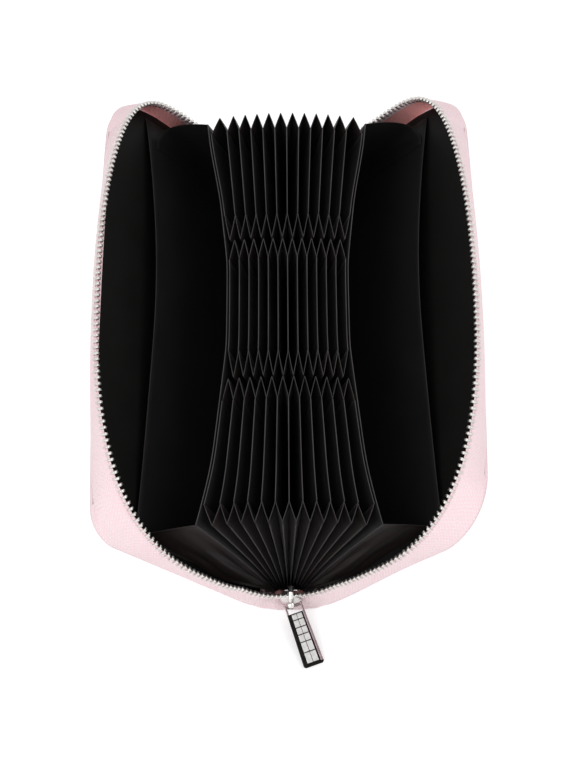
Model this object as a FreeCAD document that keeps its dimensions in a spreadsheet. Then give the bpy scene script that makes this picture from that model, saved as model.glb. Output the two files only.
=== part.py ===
import FreeCAD, Part
import math
import os

import Sketcher
from FreeCAD import Placement, Rotation, Vector

# Zip-around accordion card wallet, standing open on its spine
# Frame: +Z up, +Y along the spine to the far end, origin in the middle of the spine's underside.
# The covers lean out by the open angle. The zip slider is parked at the near end, towards -Y.
# A cover's pieces are drawn with the cover upright and then leaned out about its fold line.

# Driving sizes in millimetres and degrees

SIZES = {
    "wallet_length": 203.0,  # along the spine
    "cover_height": 101.0,  # fold line to free edge
    "spine_width": 24.0,  # fold line to fold line
    "open_angle": 38.0,  # lean of each cover from upright
    "corner_radius": 16.0,
    "skin_thick": 1.0,
    "board_thick": 0.8,
    "lining_thick": 0.6,
    "fold_radius": 1.2,  # rolled leather at the fold line
    "fold_clearance": 0.3,
    "band_inset": 0.6,  # cover edge to the zip band's outer face
    "band_thick": 1.2,
    "band_depth": 5.1,  # cover lining to the band's free edge
    "tape_thick": 0.6,
    "tape_lap": 0.7,  # how far the tape lies behind the band
    "tape_seat": 0.3,  # band to tape
    "zip_arch": 15.0,  # rise of the tooth tips at the middle of the long side
    "zip_gap": 1.1,  # tooth tip to the middle plane when closed
    "tooth_pitch": 2.6,
    "tooth_length": 2.6,
    "tooth_thick": 2.6,
    "tooth_root_width": 1.0,
    "tooth_head_width": 1.4,
    "tooth_start": 3.0,  # first tooth above the fold line
    "divider_count": 13.0,
    "divider_thick": 0.5,
    "divider_depth": 77.0,
    "divider_pitch": 1.0,  # between dividers at the binding
    "binding_thick": 1.0,
    "binding_gap": 0.1,
    "stack_end_gap": 8.7,  # wallet end to the last gusset tip, with the accordion in the middle
    "stack_shift": -3.5,  # the accordion stands nearer to the slider's end
    "tip_gap": 2.2,  # between the gusset tips of two card columns
    "fan_near": 30.0,  # outermost divider's mouth to the middle plane
    "fan_middle": 26.5,
    "fan_far": 29.0,
    "gusset_depth": 8.3,
    "gusset_wall": 0.25,
    "gusset_seat": 0.2,  # divider end to gusset
    "gusset_share": 0.05,  # half the space between two gussets on one divider
    "gusset_foot": 8.0,  # gusset start above the binding
    "side_gusset_wall": 0.6,
    "side_gusset_foot": 12.0,
    "side_gusset_top": 78.0,
    "side_gusset_seat": 0.8,  # zip tape to gusset
    "side_gusset_belly": 3.0,  # how far the fold stands in from the zip tape
    "slip_height": 72.0,
    "slip_foot": 4.0,
    "slip_thick": 0.6,
    "slip_margin": 5.0,
    "spine_inset": 1.8,  # fold line to the spine's board
    "spine_end_inset": 5.5,
    "slider_width": 8.6,
    "slider_tail_width": 6.2,
    "slider_height": 12.0,
    "slider_rise": 8.2,  # slider's middle above the ground
    "slider_outer_plate": 1.3,
    "slider_inner_plate": 0.9,
    "slider_play": 0.3,  # plate to tooth
    "post_height": 3.0,
    "post_play": 0.3,
    "stop_width": 4.8,
    "bridge_width": 2.4,
    "bridge_bar": 1.2,
    "bridge_reach": 5.2,
    "bridge_span": 6.4,
    "pull_length": 28.0,  # pivot to the far end
    "pull_width": 8.0,
    "pull_thick": 1.6,
    "pull_eye_length": 5.1,  # pivot to the eye's far edge
    "pull_eye_width": 4.8,
    "pull_bar_radius": 0.7,
    "pull_corner": 1.0,
    "pull_pivot_out": 2.4,  # slider's outer plate to the pivot
    "pull_pivot_up": 1.1,  # bridge's lower arm to the pivot
    "pull_ground_gap": 0.1,
    "pull_yaw": 22.0,
    "pull_bevel": 0.5,
    "pull_rim": 1.4,
    "pull_recess": 0.5,
    "tile_rows": 6.0,
    "tile_gap": 0.4,
    "tile_thick": 0.4,
}

# Three card columns fill the length between the two ends

DERIVED = {
    "card_edge": "=(wallet_length - 2 * stack_end_gap - 6 * gusset_depth - 2 * tip_gap) / 3",
    "column_pitch": "=card_edge + 2 * gusset_depth + tip_gap",
}

doc = FreeCAD.newDocument("accordion_wallet")
sheet = doc.addObject("Spreadsheet::Sheet", "sheet")
for row, (alias, value) in enumerate((SIZES | DERIVED).items(), start=1):
    sheet.set(f"A{row}", alias)
    sheet.set(f"B{row}", str(value))
    sheet.setAlias(f"B{row}", alias)
doc.recompute()

SUBPARTS = {}
FRONT, BACK = 1, -1
SIDE_NAMES = {FRONT: "front", BACK: "back"}
ENDS = {"near": -1, "far": 1}
COLUMNS = {"near": -1, "middle": 0, "far": 1}


def size(alias):
    """A driving size, read from the sheet."""
    return float(sheet.get(alias))


def keep(obj, label):
    """Names an object as a finished sub-part."""
    obj.Label = label
    SUBPARTS[label] = obj
    return obj


def sketch_on(body, name, role, offset):
    """An empty sketch on one of the body's origin planes, moved along the plane's normal."""
    plane = next(feature for feature in body.Origin.OriginFeatures if feature.Role == role)
    sketch = body.newObject("Sketcher::SketchObject", name)
    sketch.AttachmentSupport = [(plane, "")]
    sketch.MapMode = "FlatFace"
    sketch.setExpression("AttachmentOffset.Base.z", offset)
    return sketch


def constrain(sketch, name, words, *constraint):
    """Adds one dimension to a sketch and binds it to an expression."""
    index = sketch.addConstraint(Sketcher.Constraint(*constraint))
    sketch.renameConstraint(index, name)
    sketch.setExpression(f"Constraints.{name}", words)


def lean_from_origin(sketch, name, words, line, along, value):
    """Places the start of a line by its distance from the origin along one axis."""
    kind = "DistanceX" if along == "x" else "DistanceY"
    if value >= 0:
        constrain(sketch, name, words, kind, -1, 1, line, 1, value)
    else:
        constrain(sketch, name, f"-({words})", kind, line, 1, -1, 1, -value)


def polygon(sketch, corners):
    """A closed outline; each corner is (x, y, words for x, words for y)."""
    count = len(corners)
    first = sketch.GeometryCount
    for i in range(count):
        here = corners[i]
        after = corners[(i + 1) % count]
        sketch.addGeometry(Part.LineSegment(Vector(here[0], here[1], 0), Vector(after[0], after[1], 0)))
    for i in range(count):
        sketch.addConstraint(Sketcher.Constraint("Coincident", first + i, 2, first + (i + 1) % count, 1))
    for i, (x, y, x_words, y_words) in enumerate(corners):
        lean_from_origin(sketch, f"x{first + i}", x_words, first + i, "x", x)
        lean_from_origin(sketch, f"y{first + i}", y_words, first + i, "y", y)


def rectangle(sketch, left, right, low, high):
    """A rectangle; each side is (value, words)."""
    corners = []
    for x, y in ((left, low), (right, low), (right, high), (left, high)):
        corners.append((x[0], y[0], x[1], y[1]))
    polygon(sketch, corners)


def pad(body, sketch, name, length):
    """Raises a sketch along its plane's normal."""
    feature = body.newObject("PartDesign::Pad", name)
    feature.Profile = sketch
    feature.setExpression("Length", length)
    sketch.Visibility = False
    return feature


def pocket(body, sketch, name, length):
    """Sinks a sketch into the body against its plane's normal."""
    feature = body.newObject("PartDesign::Pocket", name)
    feature.Profile = sketch
    feature.setExpression("Length", length)
    sketch.Visibility = False
    return feature


def block(name, across, along, up, placement):
    """A box whose three sides and place are bound to expressions."""
    box = doc.addObject("Part::Box", name)
    box.setExpression("Length", across)
    box.setExpression("Width", along)
    box.setExpression("Height", up)
    box.setExpression("Placement", placement)
    return box


# Covers: leather skin, board, lining and slip pocket


def cover_placement(side):
    """Words that lean a cover out about its fold line."""
    fold = f"vector({-side} * sheet.spine_width / 2; 0; sheet.fold_radius)"
    return f"placement({fold}; rotation(vector(0; 1; 0); {-side} * sheet.open_angle))"


def rounded_outline(sketch, inset, foot, top):
    """A cover's outline: square at the fold, rounded at the two free corners."""
    half, low, high, radius = 95.0, 2.0, 95.0, 12.0
    centres = [Vector(half - radius, high - radius, 0), Vector(radius - half, high - radius, 0)]
    arcs = [Part.Circle(centre, Vector(0, 0, 1), radius) for centre in centres]
    sketch.addGeometry(Part.LineSegment(Vector(-half, low, 0), Vector(half, low, 0)))
    sketch.addGeometry(Part.LineSegment(Vector(half, low, 0), Vector(half, high - radius, 0)))
    sketch.addGeometry(Part.ArcOfCircle(arcs[0], 0, math.pi / 2))
    sketch.addGeometry(Part.LineSegment(Vector(half - radius, high, 0), Vector(radius - half, high, 0)))
    sketch.addGeometry(Part.ArcOfCircle(arcs[1], math.pi / 2, math.pi))
    sketch.addGeometry(Part.LineSegment(Vector(-half, high - radius, 0), Vector(-half, low, 0)))
    sketch.addConstraint(Sketcher.Constraint("Coincident", 0, 2, 1, 1))
    sketch.addConstraint(Sketcher.Constraint("Coincident", 5, 2, 0, 1))
    for before in (1, 2, 3, 4):
        sketch.addConstraint(Sketcher.Constraint("Tangent", before, 2, before + 1, 1))
    for line, kind in ((0, "Horizontal"), (1, "Vertical"), (3, "Horizontal"), (5, "Vertical")):
        sketch.addConstraint(Sketcher.Constraint(kind, line))
    sketch.addConstraint(Sketcher.Constraint("Equal", 2, 4))
    constrain(sketch, "radius", f"sheet.corner_radius - {inset}", "Radius", 2, radius)
    constrain(sketch, "top", top, "DistanceY", -1, 1, 3, 1, high)
    constrain(sketch, "foot", foot, "DistanceY", -1, 1, 0, 1, low)
    constrain(sketch, "near", f"sheet.wallet_length / 2 - {inset}", "DistanceX", 0, 1, -1, 1, half)
    constrain(sketch, "far", f"sheet.wallet_length / 2 - {inset}", "DistanceX", -1, 1, 0, 2, half)


def cover_layer(side, label, depth, thick, inset, foot, top):
    """One rounded flat layer of a cover; depth and thick run towards the wallet's inside."""
    body = doc.addObject("PartDesign::Body", f"{SIDE_NAMES[side]}_{label}")
    start = depth if side == FRONT else f"-({depth} + {thick})"
    sketch = sketch_on(body, f"{body.Name}_outline", "YZ_Plane", start)
    rounded_outline(sketch, inset, foot, top)
    pad(body, sketch, f"{body.Name}_pad", thick)
    body.setExpression("Placement", cover_placement(side))
    return keep(body, body.Name)


def slip_pocket(side):
    """A square-cornered panel on the lining that makes the flat pocket inside a cover."""
    body = doc.addObject("PartDesign::Body", f"{SIDE_NAMES[side]}_slip_pocket")
    depth = "(sheet.board_thick / 2 + sheet.lining_thick)"
    start = depth if side == FRONT else f"-({depth} + sheet.slip_thick)"
    sketch = sketch_on(body, f"{body.Name}_outline", "YZ_Plane", start)
    reach = "(sheet.wallet_length / 2 - sheet.slip_margin)"
    top = "(sheet.slip_foot + sheet.slip_height)"
    rectangle(sketch, (-90, f"-{reach}"), (90, reach), (5, "sheet.slip_foot"), (70, top))
    pad(body, sketch, f"{body.Name}_pad", "sheet.slip_thick")
    body.setExpression("Placement", cover_placement(side))
    return keep(body, body.Name)


def covers():
    """Both covers, outside to inside."""
    foot = "(sheet.fold_radius + sheet.fold_clearance)"
    inset = "sheet.band_inset"
    inner_top = "(sheet.cover_height - sheet.band_inset)"
    for side in (FRONT, BACK):
        skin = "(-sheet.board_thick / 2 - sheet.skin_thick)"
        cover_layer(side, "cover_skin", skin, "sheet.skin_thick", "0", foot, "sheet.cover_height")
        board = "(-sheet.board_thick / 2)"
        cover_layer(side, "cover_board", board, "sheet.board_thick", inset, foot, inner_top)
        lining = "(sheet.board_thick / 2)"
        cover_layer(side, "cover_lining", lining, "sheet.lining_thick", inset, foot, inner_top)
        slip_pocket(side)


# Zip: bands, tapes, teeth and stops along three sides of each cover


def inside_face():
    """The lining's face, measured from the fold line to the wallet's inside."""
    return size("board_thick") / 2 + size("lining_thick")


def tooth_tip():
    """The tooth tips, measured from the fold line to the wallet's inside."""
    return size("spine_width") / 2 - size("zip_gap")


def outline_edges(depth, inset, foot):
    """The cover's outline on three sides from the near foot, at one depth and inset from its edge.

    At the lining the long side is straight. It arches up with the depth, and the corners grow with it, so
    that each still runs smoothly from the short side into the arch.
    """
    half = size("wallet_length") / 2 - inset
    high = size("cover_height") - inset
    chord = size("wallet_length") / 2 - size("corner_radius")
    rise = size("zip_arch") * (depth - inside_face()) / (tooth_tip() - inside_face())
    slope = 2 * math.atan2(rise, chord)
    radius = (half - chord) / (1 - math.sin(slope))
    low = high - radius * math.cos(slope)
    middle = (math.pi / 2 - slope) / 2
    bend_y = half - radius + radius * math.cos(middle)
    bend_z = low + radius * math.sin(middle)

    def at(y, z):
        return Vector(depth, y, z)

    top = Part.LineSegment(at(-chord, high), at(chord, high))
    if rise > 0:
        top = Part.Arc(at(-chord, high), at(0, high + rise), at(chord, high))
    return [
        Part.LineSegment(at(-half, foot), at(-half, low)).toShape(),
        Part.Arc(at(-half, low), at(-bend_y, bend_z), at(-chord, high)).toShape(),
        top.toShape(),
        Part.Arc(at(chord, high), at(bend_y, bend_z), at(half, low)).toShape(),
        Part.LineSegment(at(half, low), at(half, foot)).toShape(),
    ]


def strip_wire(depth, outer, inner, foot):
    """A closed thin strip along the outline, between two insets."""
    out = outline_edges(depth, outer, foot)
    back = outline_edges(depth, inner, foot)
    far = Part.LineSegment(out[-1].Vertexes[-1].Point, back[-1].Vertexes[-1].Point).toShape()
    near = Part.LineSegment(back[0].Vertexes[0].Point, out[0].Vertexes[0].Point).toShape()
    return Part.Wire(Part.__sortEdges__(out + [far] + back[::-1] + [near]))


def zip_strip(start, end, outer, inner, foot):
    """A band or tape: a strip from one depth to another that rises with the zip's arch."""
    wires = [strip_wire(depth, outer, inner, foot) for depth in (start, end)]
    return Part.makeLoft(wires, True, True)


def tooth_shape():
    """One tooth pointing along +X: narrow root, wider head, blunt tip."""
    root = size("tooth_root_width") / 2
    head = size("tooth_head_width") / 2
    length = size("tooth_length")
    upper = [(0, root), (0.7 * length, head), (length, 0.5 * root)]
    lower = [(x, -y) for x, y in reversed(upper)]
    low = -size("tooth_thick") / 2
    points = [Vector(x, y, low) for x, y in upper + lower]
    face = Part.Face(Part.makePolygon(points + points[:1]))
    return face.extrude(Vector(0, 0, size("tooth_thick")))


def top_stop_shape():
    """The stop that closes a row of teeth: a square block over the tape's end."""
    length = size("tooth_length")
    thick = size("tooth_thick")
    pitch = size("tooth_pitch")
    return Part.makeBox(0.8 * length, 0.8 * pitch, thick, Vector(0, -0.4 * pitch, -thick / 2))


def tooth_places(depth, inset, start):
    """Places one pitch apart along the outline, as placements with +Y along the row."""
    pitch = size("tooth_pitch")
    places = []
    ahead = start
    for edge in outline_edges(depth, inset, size("tooth_start")):
        while ahead <= edge.Length:
            at = edge.getParameterByLength(ahead)
            way = edge.tangentAt(at)
            turn = math.degrees(math.atan2(way.z, way.y))
            places.append(Placement(edge.valueAt(at), Rotation(Vector(1, 0, 0), turn)))
            ahead += pitch
        ahead -= edge.Length
    return places


def placed(shape, placement):
    """A copy of a shape at a placement."""
    copy = shape.copy()
    copy.Placement = placement
    return copy


def on_cover(side, shape, label):
    """A sub-part drawn for the front cover, mirrored for the back one and leaned out with it."""
    if side == BACK:
        shape = shape.mirror(Vector(0, 0, 0), Vector(1, 0, 0))
    feature = doc.addObject("Part::Feature", f"{SIDE_NAMES[side]}_{label}")
    feature.Shape = shape
    feature.setExpression("Placement", cover_placement(side))
    return keep(feature, feature.Name)


def zip_rows():
    """Each cover carries a leather band, a woven tape on it and a row of metal teeth."""
    foot = size("fold_radius") + size("fold_clearance")
    band_end = inside_face() + size("band_depth")
    root = tooth_tip() - size("tooth_length")
    outer = size("band_inset")
    inner = outer + size("band_thick")
    tape_middle = inner + size("tape_thick") / 2
    pitch = size("tooth_pitch")
    for side, start in ((FRONT, 0.25 * pitch), (BACK, 0.75 * pitch)):
        band = zip_strip(inside_face(), band_end, outer, inner - size("tape_seat"), foot)
        on_cover(side, band, "zip_band")
        tape = zip_strip(band_end - size("tape_lap"), root, inner, inner + size("tape_thick"), foot)
        on_cover(side, tape, "zip_tape")
        places = tooth_places(root, tape_middle, start)
        teeth = [placed(tooth_shape(), place) for place in places[:-1]]
        on_cover(side, Part.makeCompound(teeth), "zip_teeth")
        on_cover(side, Part.makeCompound([placed(top_stop_shape(), places[-1])]), "zip_top_stop")


# Spine: leather with rolled folds, board, lining and the dividers' binding strip

SPINE_BOARD_LOW = "sheet.skin_thick"
SPINE_LINING_LOW = "(sheet.skin_thick + sheet.board_thick)"
BINDING_LOW = "(sheet.skin_thick + sheet.board_thick + sheet.lining_thick)"
DIVIDER_FOOT = f"({BINDING_LOW} + sheet.binding_thick + sheet.binding_gap)"


def spine():
    """The leather rolls up at both fold lines; board, lining and binding lie on it."""
    body = doc.addObject("PartDesign::Body", "spine_skin")
    strip = sketch_on(body, "spine_strip_outline", "XZ_Plane", "-sheet.wallet_length / 2")
    half = "(sheet.spine_width / 2 - sheet.fold_radius / 4)"
    rectangle(strip, (-11, f"-{half}"), (11, half), (0, "0"), (1, "sheet.skin_thick"))
    pad(body, strip, "spine_strip", "sheet.wallet_length")
    rolls = sketch_on(body, "spine_roll_outline", "XZ_Plane", "-sheet.wallet_length / 2")
    for index, x in enumerate((-12.0, 12.0)):
        rolls.addGeometry(Part.Circle(Vector(x, 1.5, 0), Vector(0, 0, 1), 1.5))
        constrain(rolls, f"roll{index}", "sheet.fold_radius", "Radius", index, 1.5)
        constrain(rolls, f"up{index}", "sheet.fold_radius", "DistanceY", -1, 1, index, 3, 1.5)
    constrain(rolls, "left", "sheet.spine_width / 2", "DistanceX", 0, 3, -1, 1, 12.0)
    constrain(rolls, "right", "sheet.spine_width / 2", "DistanceX", -1, 1, 1, 3, 12.0)
    pad(body, rolls, "spine_rolls", "sheet.wallet_length")
    keep(body, "spine_skin")

    half = "(sheet.spine_width / 2 - sheet.spine_inset)"
    reach = "(sheet.wallet_length / 2 - sheet.spine_end_inset)"
    layers = {
        "spine_board": (SPINE_BOARD_LOW, "sheet.board_thick"),
        "spine_lining": (SPINE_LINING_LOW, "sheet.lining_thick"),
    }
    for label, (low, thick) in layers.items():
        place = f"placement(vector(-{half}; -{reach}; {low}); rotation(0; 0; 0))"
        keep(block(label, f"2 * {half}", f"2 * {reach}", thick, place), label)
    half = "((sheet.divider_count + 1) * sheet.divider_pitch / 2)"
    reach = "(sheet.column_pitch + sheet.card_edge / 2)"
    place = f"placement(vector(-{half}; sheet.stack_shift - {reach}; {BINDING_LOW}); rotation(0; 0; 0))"
    keep(block("binding_strip", f"2 * {half}", f"2 * {reach}", "sheet.binding_thick", place), "binding_strip")


# Dividers: three panels side by side, fanned out from the binding


def divider_step(number):
    """A divider's place counted from the middle one."""
    return number - (int(size("divider_count")) + 1) // 2


def divider_lean_words(number, column):
    """Words for the lean of one divider panel from upright."""
    step = divider_step(number)
    outermost = "((sheet.divider_count - 1) / 2)"
    shift = f"({step} * (sheet.fan_{column} / {outermost} - sheet.divider_pitch))"
    return f"asin({shift} / sheet.divider_depth)"


def dividers():
    """Every divider is cut into one panel per card column."""
    for number in range(1, int(size("divider_count")) + 1):
        panels = []
        for column, place in COLUMNS.items():
            across = f"{divider_step(number)} * sheet.divider_pitch"
            along = f"sheet.stack_shift + {place} * sheet.column_pitch"
            root = f"vector({across}; {along}; {DIVIDER_FOOT})"
            lean = f"rotation(vector(0; 1; 0); {divider_lean_words(number, column)})"
            centred = "placement(vector(-sheet.divider_thick / 2; -sheet.card_edge / 2; 0); rotation(0; 0; 0))"
            words = f"placement({root}; {lean}) * {centred}"
            name = f"panel_{number:02d}_{column}"
            panels.append(block(name, "sheet.divider_thick", "sheet.card_edge", "sheet.divider_depth", words))
        group = doc.addObject("Part::Compound", f"divider_{number:02d}")
        group.Links = panels
        keep(group, f"divider_{number:02d}")


# Gussets: folded walls that close the pocket ends


def divider_foot():
    """Height of the dividers' roots above the ground."""
    layers = ("skin_thick", "board_thick", "lining_thick", "binding_thick", "binding_gap")
    return sum(size(name) for name in layers)


def on_divider(number, column, height):
    """The middle of a divider panel at a height along it, as a point in the XZ plane."""
    step = divider_step(number)
    outermost = (size("divider_count") - 1) / 2
    shift = step * (size(f"fan_{column}") / outermost - size("divider_pitch"))
    lean = math.asin(shift / size("divider_depth"))
    x = step * size("divider_pitch") + height * math.sin(lean)
    return Vector(x, 0, divider_foot() + height * math.cos(lean))


def on_band_edge(side, height):
    """A point above the zip band's free edge at a height along the cover, in the XZ plane."""
    lean = math.radians(size("open_angle"))
    depth = inside_face() + size("band_depth")
    x = -size("spine_width") / 2 + depth * math.cos(lean) - height * math.sin(lean)
    z = size("fold_radius") + depth * math.sin(lean) + height * math.cos(lean)
    return Vector(side * x, 0, z)


def fold_corners(left, right, end_y, tip_y, wall):
    """Six corners of a folded wall at one height: outer fold first, then its inside."""
    across = right - left
    way = Vector(across).normalize()
    inner_tip = tip_y - (tip_y - end_y) * wall / (across.Length / 2)

    def at(point, y):
        return Vector(point.x, y, point.z)

    middle = (left + right) * 0.5
    return [
        at(left, end_y),
        at(middle, tip_y),
        at(right, end_y),
        at(right - way * wall, end_y),
        at(middle, inner_tip),
        at(left + way * wall, end_y),
    ]


def face_through(*points):
    """A flat face through corner points."""
    return Part.Face(Part.makePolygon(list(points) + [points[0]]))


def folded_wall(low, high):
    """A solid between two sets of fold corners, with flat faces only."""
    faces = [face_through(*low), face_through(*high)]
    for end, tip in ((0, 1), (2, 1), (3, 4), (5, 4)):
        faces.append(face_through(low[end], low[tip], high[tip]))
        faces.append(face_through(low[end], high[tip], high[end]))
    for first, second in ((2, 3), (5, 0)):
        faces.append(face_through(low[first], low[second], high[second], high[first]))
    solid = Part.makeSolid(Part.makeShell(faces))
    if solid.Volume < 0:
        solid.reverse()
    return solid


def gusset_feature(shape, label):
    """Keeps a set of folded walls as one sub-part."""
    feature = doc.addObject("Part::Feature", label)
    feature.Shape = shape
    feature.Placement = Placement()
    return keep(feature, label)


def pocket_gussets():
    """Between two dividers, every card column is closed by a folded wall at either end."""
    share = Vector(size("gusset_share"), 0, 0)
    wall = size("gusset_wall")
    end = size("card_edge") / 2 + size("gusset_seat")
    tip = size("card_edge") / 2 + size("gusset_depth")
    heights = (size("gusset_foot"), size("divider_depth"))
    for number in range(1, int(size("divider_count"))):
        walls = []
        for column, place in COLUMNS.items():
            middle = size("stack_shift") + place * size("column_pitch")
            for way in ENDS.values():
                corners = []
                for height in heights:
                    left = on_divider(number, column, height) + share
                    right = on_divider(number + 1, column, height) - share
                    corners.append(fold_corners(left, right, middle + way * end, middle + way * tip, wall))
                walls.append(folded_wall(*corners))
        gusset_feature(Part.makeCompound(walls), f"pocket_gussets_{number:02d}")


def hung_corners(outer, inner, outer_y, inner_y, belly_y, wall):
    """Six corners of a side gusset at one height: from the zip tape over its fold to the divider, and back."""
    middle = (outer + inner) * 0.5
    line = [(outer, outer_y), (middle, belly_y), (inner, inner_y)]
    face = [Vector(point.x, y, point.z) for point, y in line]
    back = [Vector(point.x, y + wall, point.z) for point, y in line]
    return face + back[::-1]


def side_gussets():
    """Between the outermost divider and a cover's zip, a hung wall with one fold at either end."""
    last = int(size("divider_count"))
    inner_y = size("column_pitch") + size("card_edge") / 2 + size("gusset_seat")
    tape_face = size("band_inset") + size("band_thick") + size("tape_thick")
    outer_y = size("wallet_length") / 2 - tape_face - size("side_gusset_seat")
    belly_y = outer_y - size("side_gusset_belly")
    share = Vector(size("gusset_share"), 0, 0)
    cover_heights = (size("side_gusset_foot"), size("side_gusset_top"))
    divider_heights = (size("gusset_foot"), size("divider_depth"))
    for side, number in ((FRONT, 1), (BACK, last)):
        for column, way in ENDS.items():
            wall = -way * size("side_gusset_wall")
            corners = []
            for on_cover_at, on_divider_at in zip(cover_heights, divider_heights):
                outer = on_band_edge(side, on_cover_at)
                inner = on_divider(number, column, on_divider_at) - share * side
                places = (way * outer_y, way * inner_y + size("stack_shift"), way * belly_y)
                corners.append(hung_corners(outer, inner, places[0], places[1] - wall, places[2], wall))
            gusset_feature(folded_wall(*corners), f"{SIDE_NAMES[side]}_{column}_side_gusset")


# Slider: two plates joined by a post, a bridge for the pull, and the bottom stop

TEETH_MIDDLE = "(sheet.wallet_length / 2 - sheet.band_inset - sheet.band_thick - sheet.tape_thick / 2)"
PLATE_SPACE = "(sheet.tooth_thick / 2 + sheet.slider_play)"
OUTER_PLATE_IN = f"({TEETH_MIDDLE} + {PLATE_SPACE})"
OUTER_FACE = f"({OUTER_PLATE_IN} + sheet.slider_outer_plate)"
INNER_PLATE_IN = f"({TEETH_MIDDLE} - {PLATE_SPACE} - sheet.slider_inner_plate)"


def plate_outline(sketch):
    """A slider plate: wide shoulders above, a narrower tail below."""
    wide = "sheet.slider_width / 2"
    tail = "sheet.slider_tail_width / 2"
    low = "(sheet.slider_rise - sheet.slider_height / 2)"
    high = "(sheet.slider_rise + sheet.slider_height / 2)"
    shoulder = "(sheet.slider_rise + sheet.slider_height / 10)"
    brow = "(sheet.slider_rise + sheet.slider_height * 0.36)"
    crown = "(sheet.slider_width * 0.3)"
    corners = [
        (-3, 2, f"-{tail}", low),
        (3, 2, tail, low),
        (4, 9, wide, shoulder),
        (4, 12, wide, brow),
        (2, 14, crown, high),
        (-2, 14, f"-{crown}", high),
        (-4, 12, f"-{wide}", brow),
        (-4, 9, f"-{wide}", shoulder),
    ]
    polygon(sketch, corners)


def slider():
    """The slider's plates lie outside and inside the rows of teeth."""
    body = doc.addObject("PartDesign::Body", "slider_body")
    outer = sketch_on(body, "slider_outer_outline", "XZ_Plane", OUTER_PLATE_IN)
    plate_outline(outer)
    pad(body, outer, "slider_outer_plate", "sheet.slider_outer_plate")
    post = sketch_on(body, "slider_post_outline", "XZ_Plane", f"{TEETH_MIDDLE} - {PLATE_SPACE}")
    half = "(sheet.zip_gap - sheet.post_play)"
    high = "(sheet.slider_rise + sheet.slider_height / 2)"
    low = f"({high} - sheet.post_height)"
    rectangle(post, (-1, f"-{half}"), (1, half), (11, low), (14, high))
    pad(body, post, "slider_post", f"2 * {PLATE_SPACE}")
    inner = sketch_on(body, "slider_inner_outline", "XZ_Plane", INNER_PLATE_IN)
    plate_outline(inner)
    pad(body, inner, "slider_inner_plate", "sheet.slider_inner_plate")
    keep(body, "slider_body")

    bridge = doc.addObject("PartDesign::Body", "slider_bridge")
    outline = sketch_on(bridge, "bridge_outline", "YZ_Plane", "-sheet.bridge_width / 2")
    root = f"-{OUTER_FACE}"
    reach = f"-({OUTER_FACE} + sheet.bridge_reach)"
    inside = f"-({OUTER_FACE} + sheet.bridge_reach - sheet.bridge_bar)"
    low = "(sheet.slider_rise - sheet.bridge_span / 2)"
    high = "(sheet.slider_rise + sheet.bridge_span / 2)"
    corners = [
        (-99, 5, root, low),
        (-104, 5, reach, low),
        (-104, 12, reach, high),
        (-99, 12, root, high),
        (-99, 10, root, f"({high} - sheet.bridge_bar)"),
        (-103, 10, inside, f"({high} - sheet.bridge_bar)"),
        (-103, 6, inside, f"({low} + sheet.bridge_bar)"),
        (-99, 6, root, f"({low} + sheet.bridge_bar)"),
    ]
    polygon(outline, corners)
    pad(bridge, outline, "bridge_pad", "sheet.bridge_width")
    keep(bridge, "slider_bridge")

    start = f"(-{TEETH_MIDDLE} - sheet.tooth_thick / 2)"
    place = f"placement(vector(-sheet.stop_width / 2; {start}; sheet.skin_thick); rotation(0; 0; 0))"
    stop = block("zip_bottom_stop", "sheet.stop_width", "sheet.tooth_thick", "sheet.board_thick", place)
    keep(stop, "zip_bottom_stop")


# Pull: a bevelled frame with an eye, and a grid of tiles sunk in its face

PIVOT_OUT = f"({OUTER_FACE} + sheet.pull_pivot_out)"
BRIDGE_LOW = "(sheet.slider_rise - sheet.bridge_span / 2 + sheet.bridge_bar)"
PIVOT_UP = f"({BRIDGE_LOW} + sheet.pull_pivot_up)"
PULL_DROP = f"({PIVOT_UP} - sheet.pull_thick / 2 - sheet.pull_ground_gap)"
PULL_PLACE = (
    f"placement(vector(0; -{PIVOT_OUT}; {PIVOT_UP}); rotation(vector(0; 0; 1); sheet.pull_yaw))"
    f" * placement(vector(0; 0; 0); rotation(vector(1; 0; 0); asin({PULL_DROP} / sheet.pull_length)))"
)
PANEL_TOP = "(sheet.pull_eye_length + sheet.pull_rim)"
PANEL_END = "(sheet.pull_length - sheet.pull_rim)"
PANEL_HALF = "(sheet.pull_width / 2 - sheet.pull_rim)"


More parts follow.
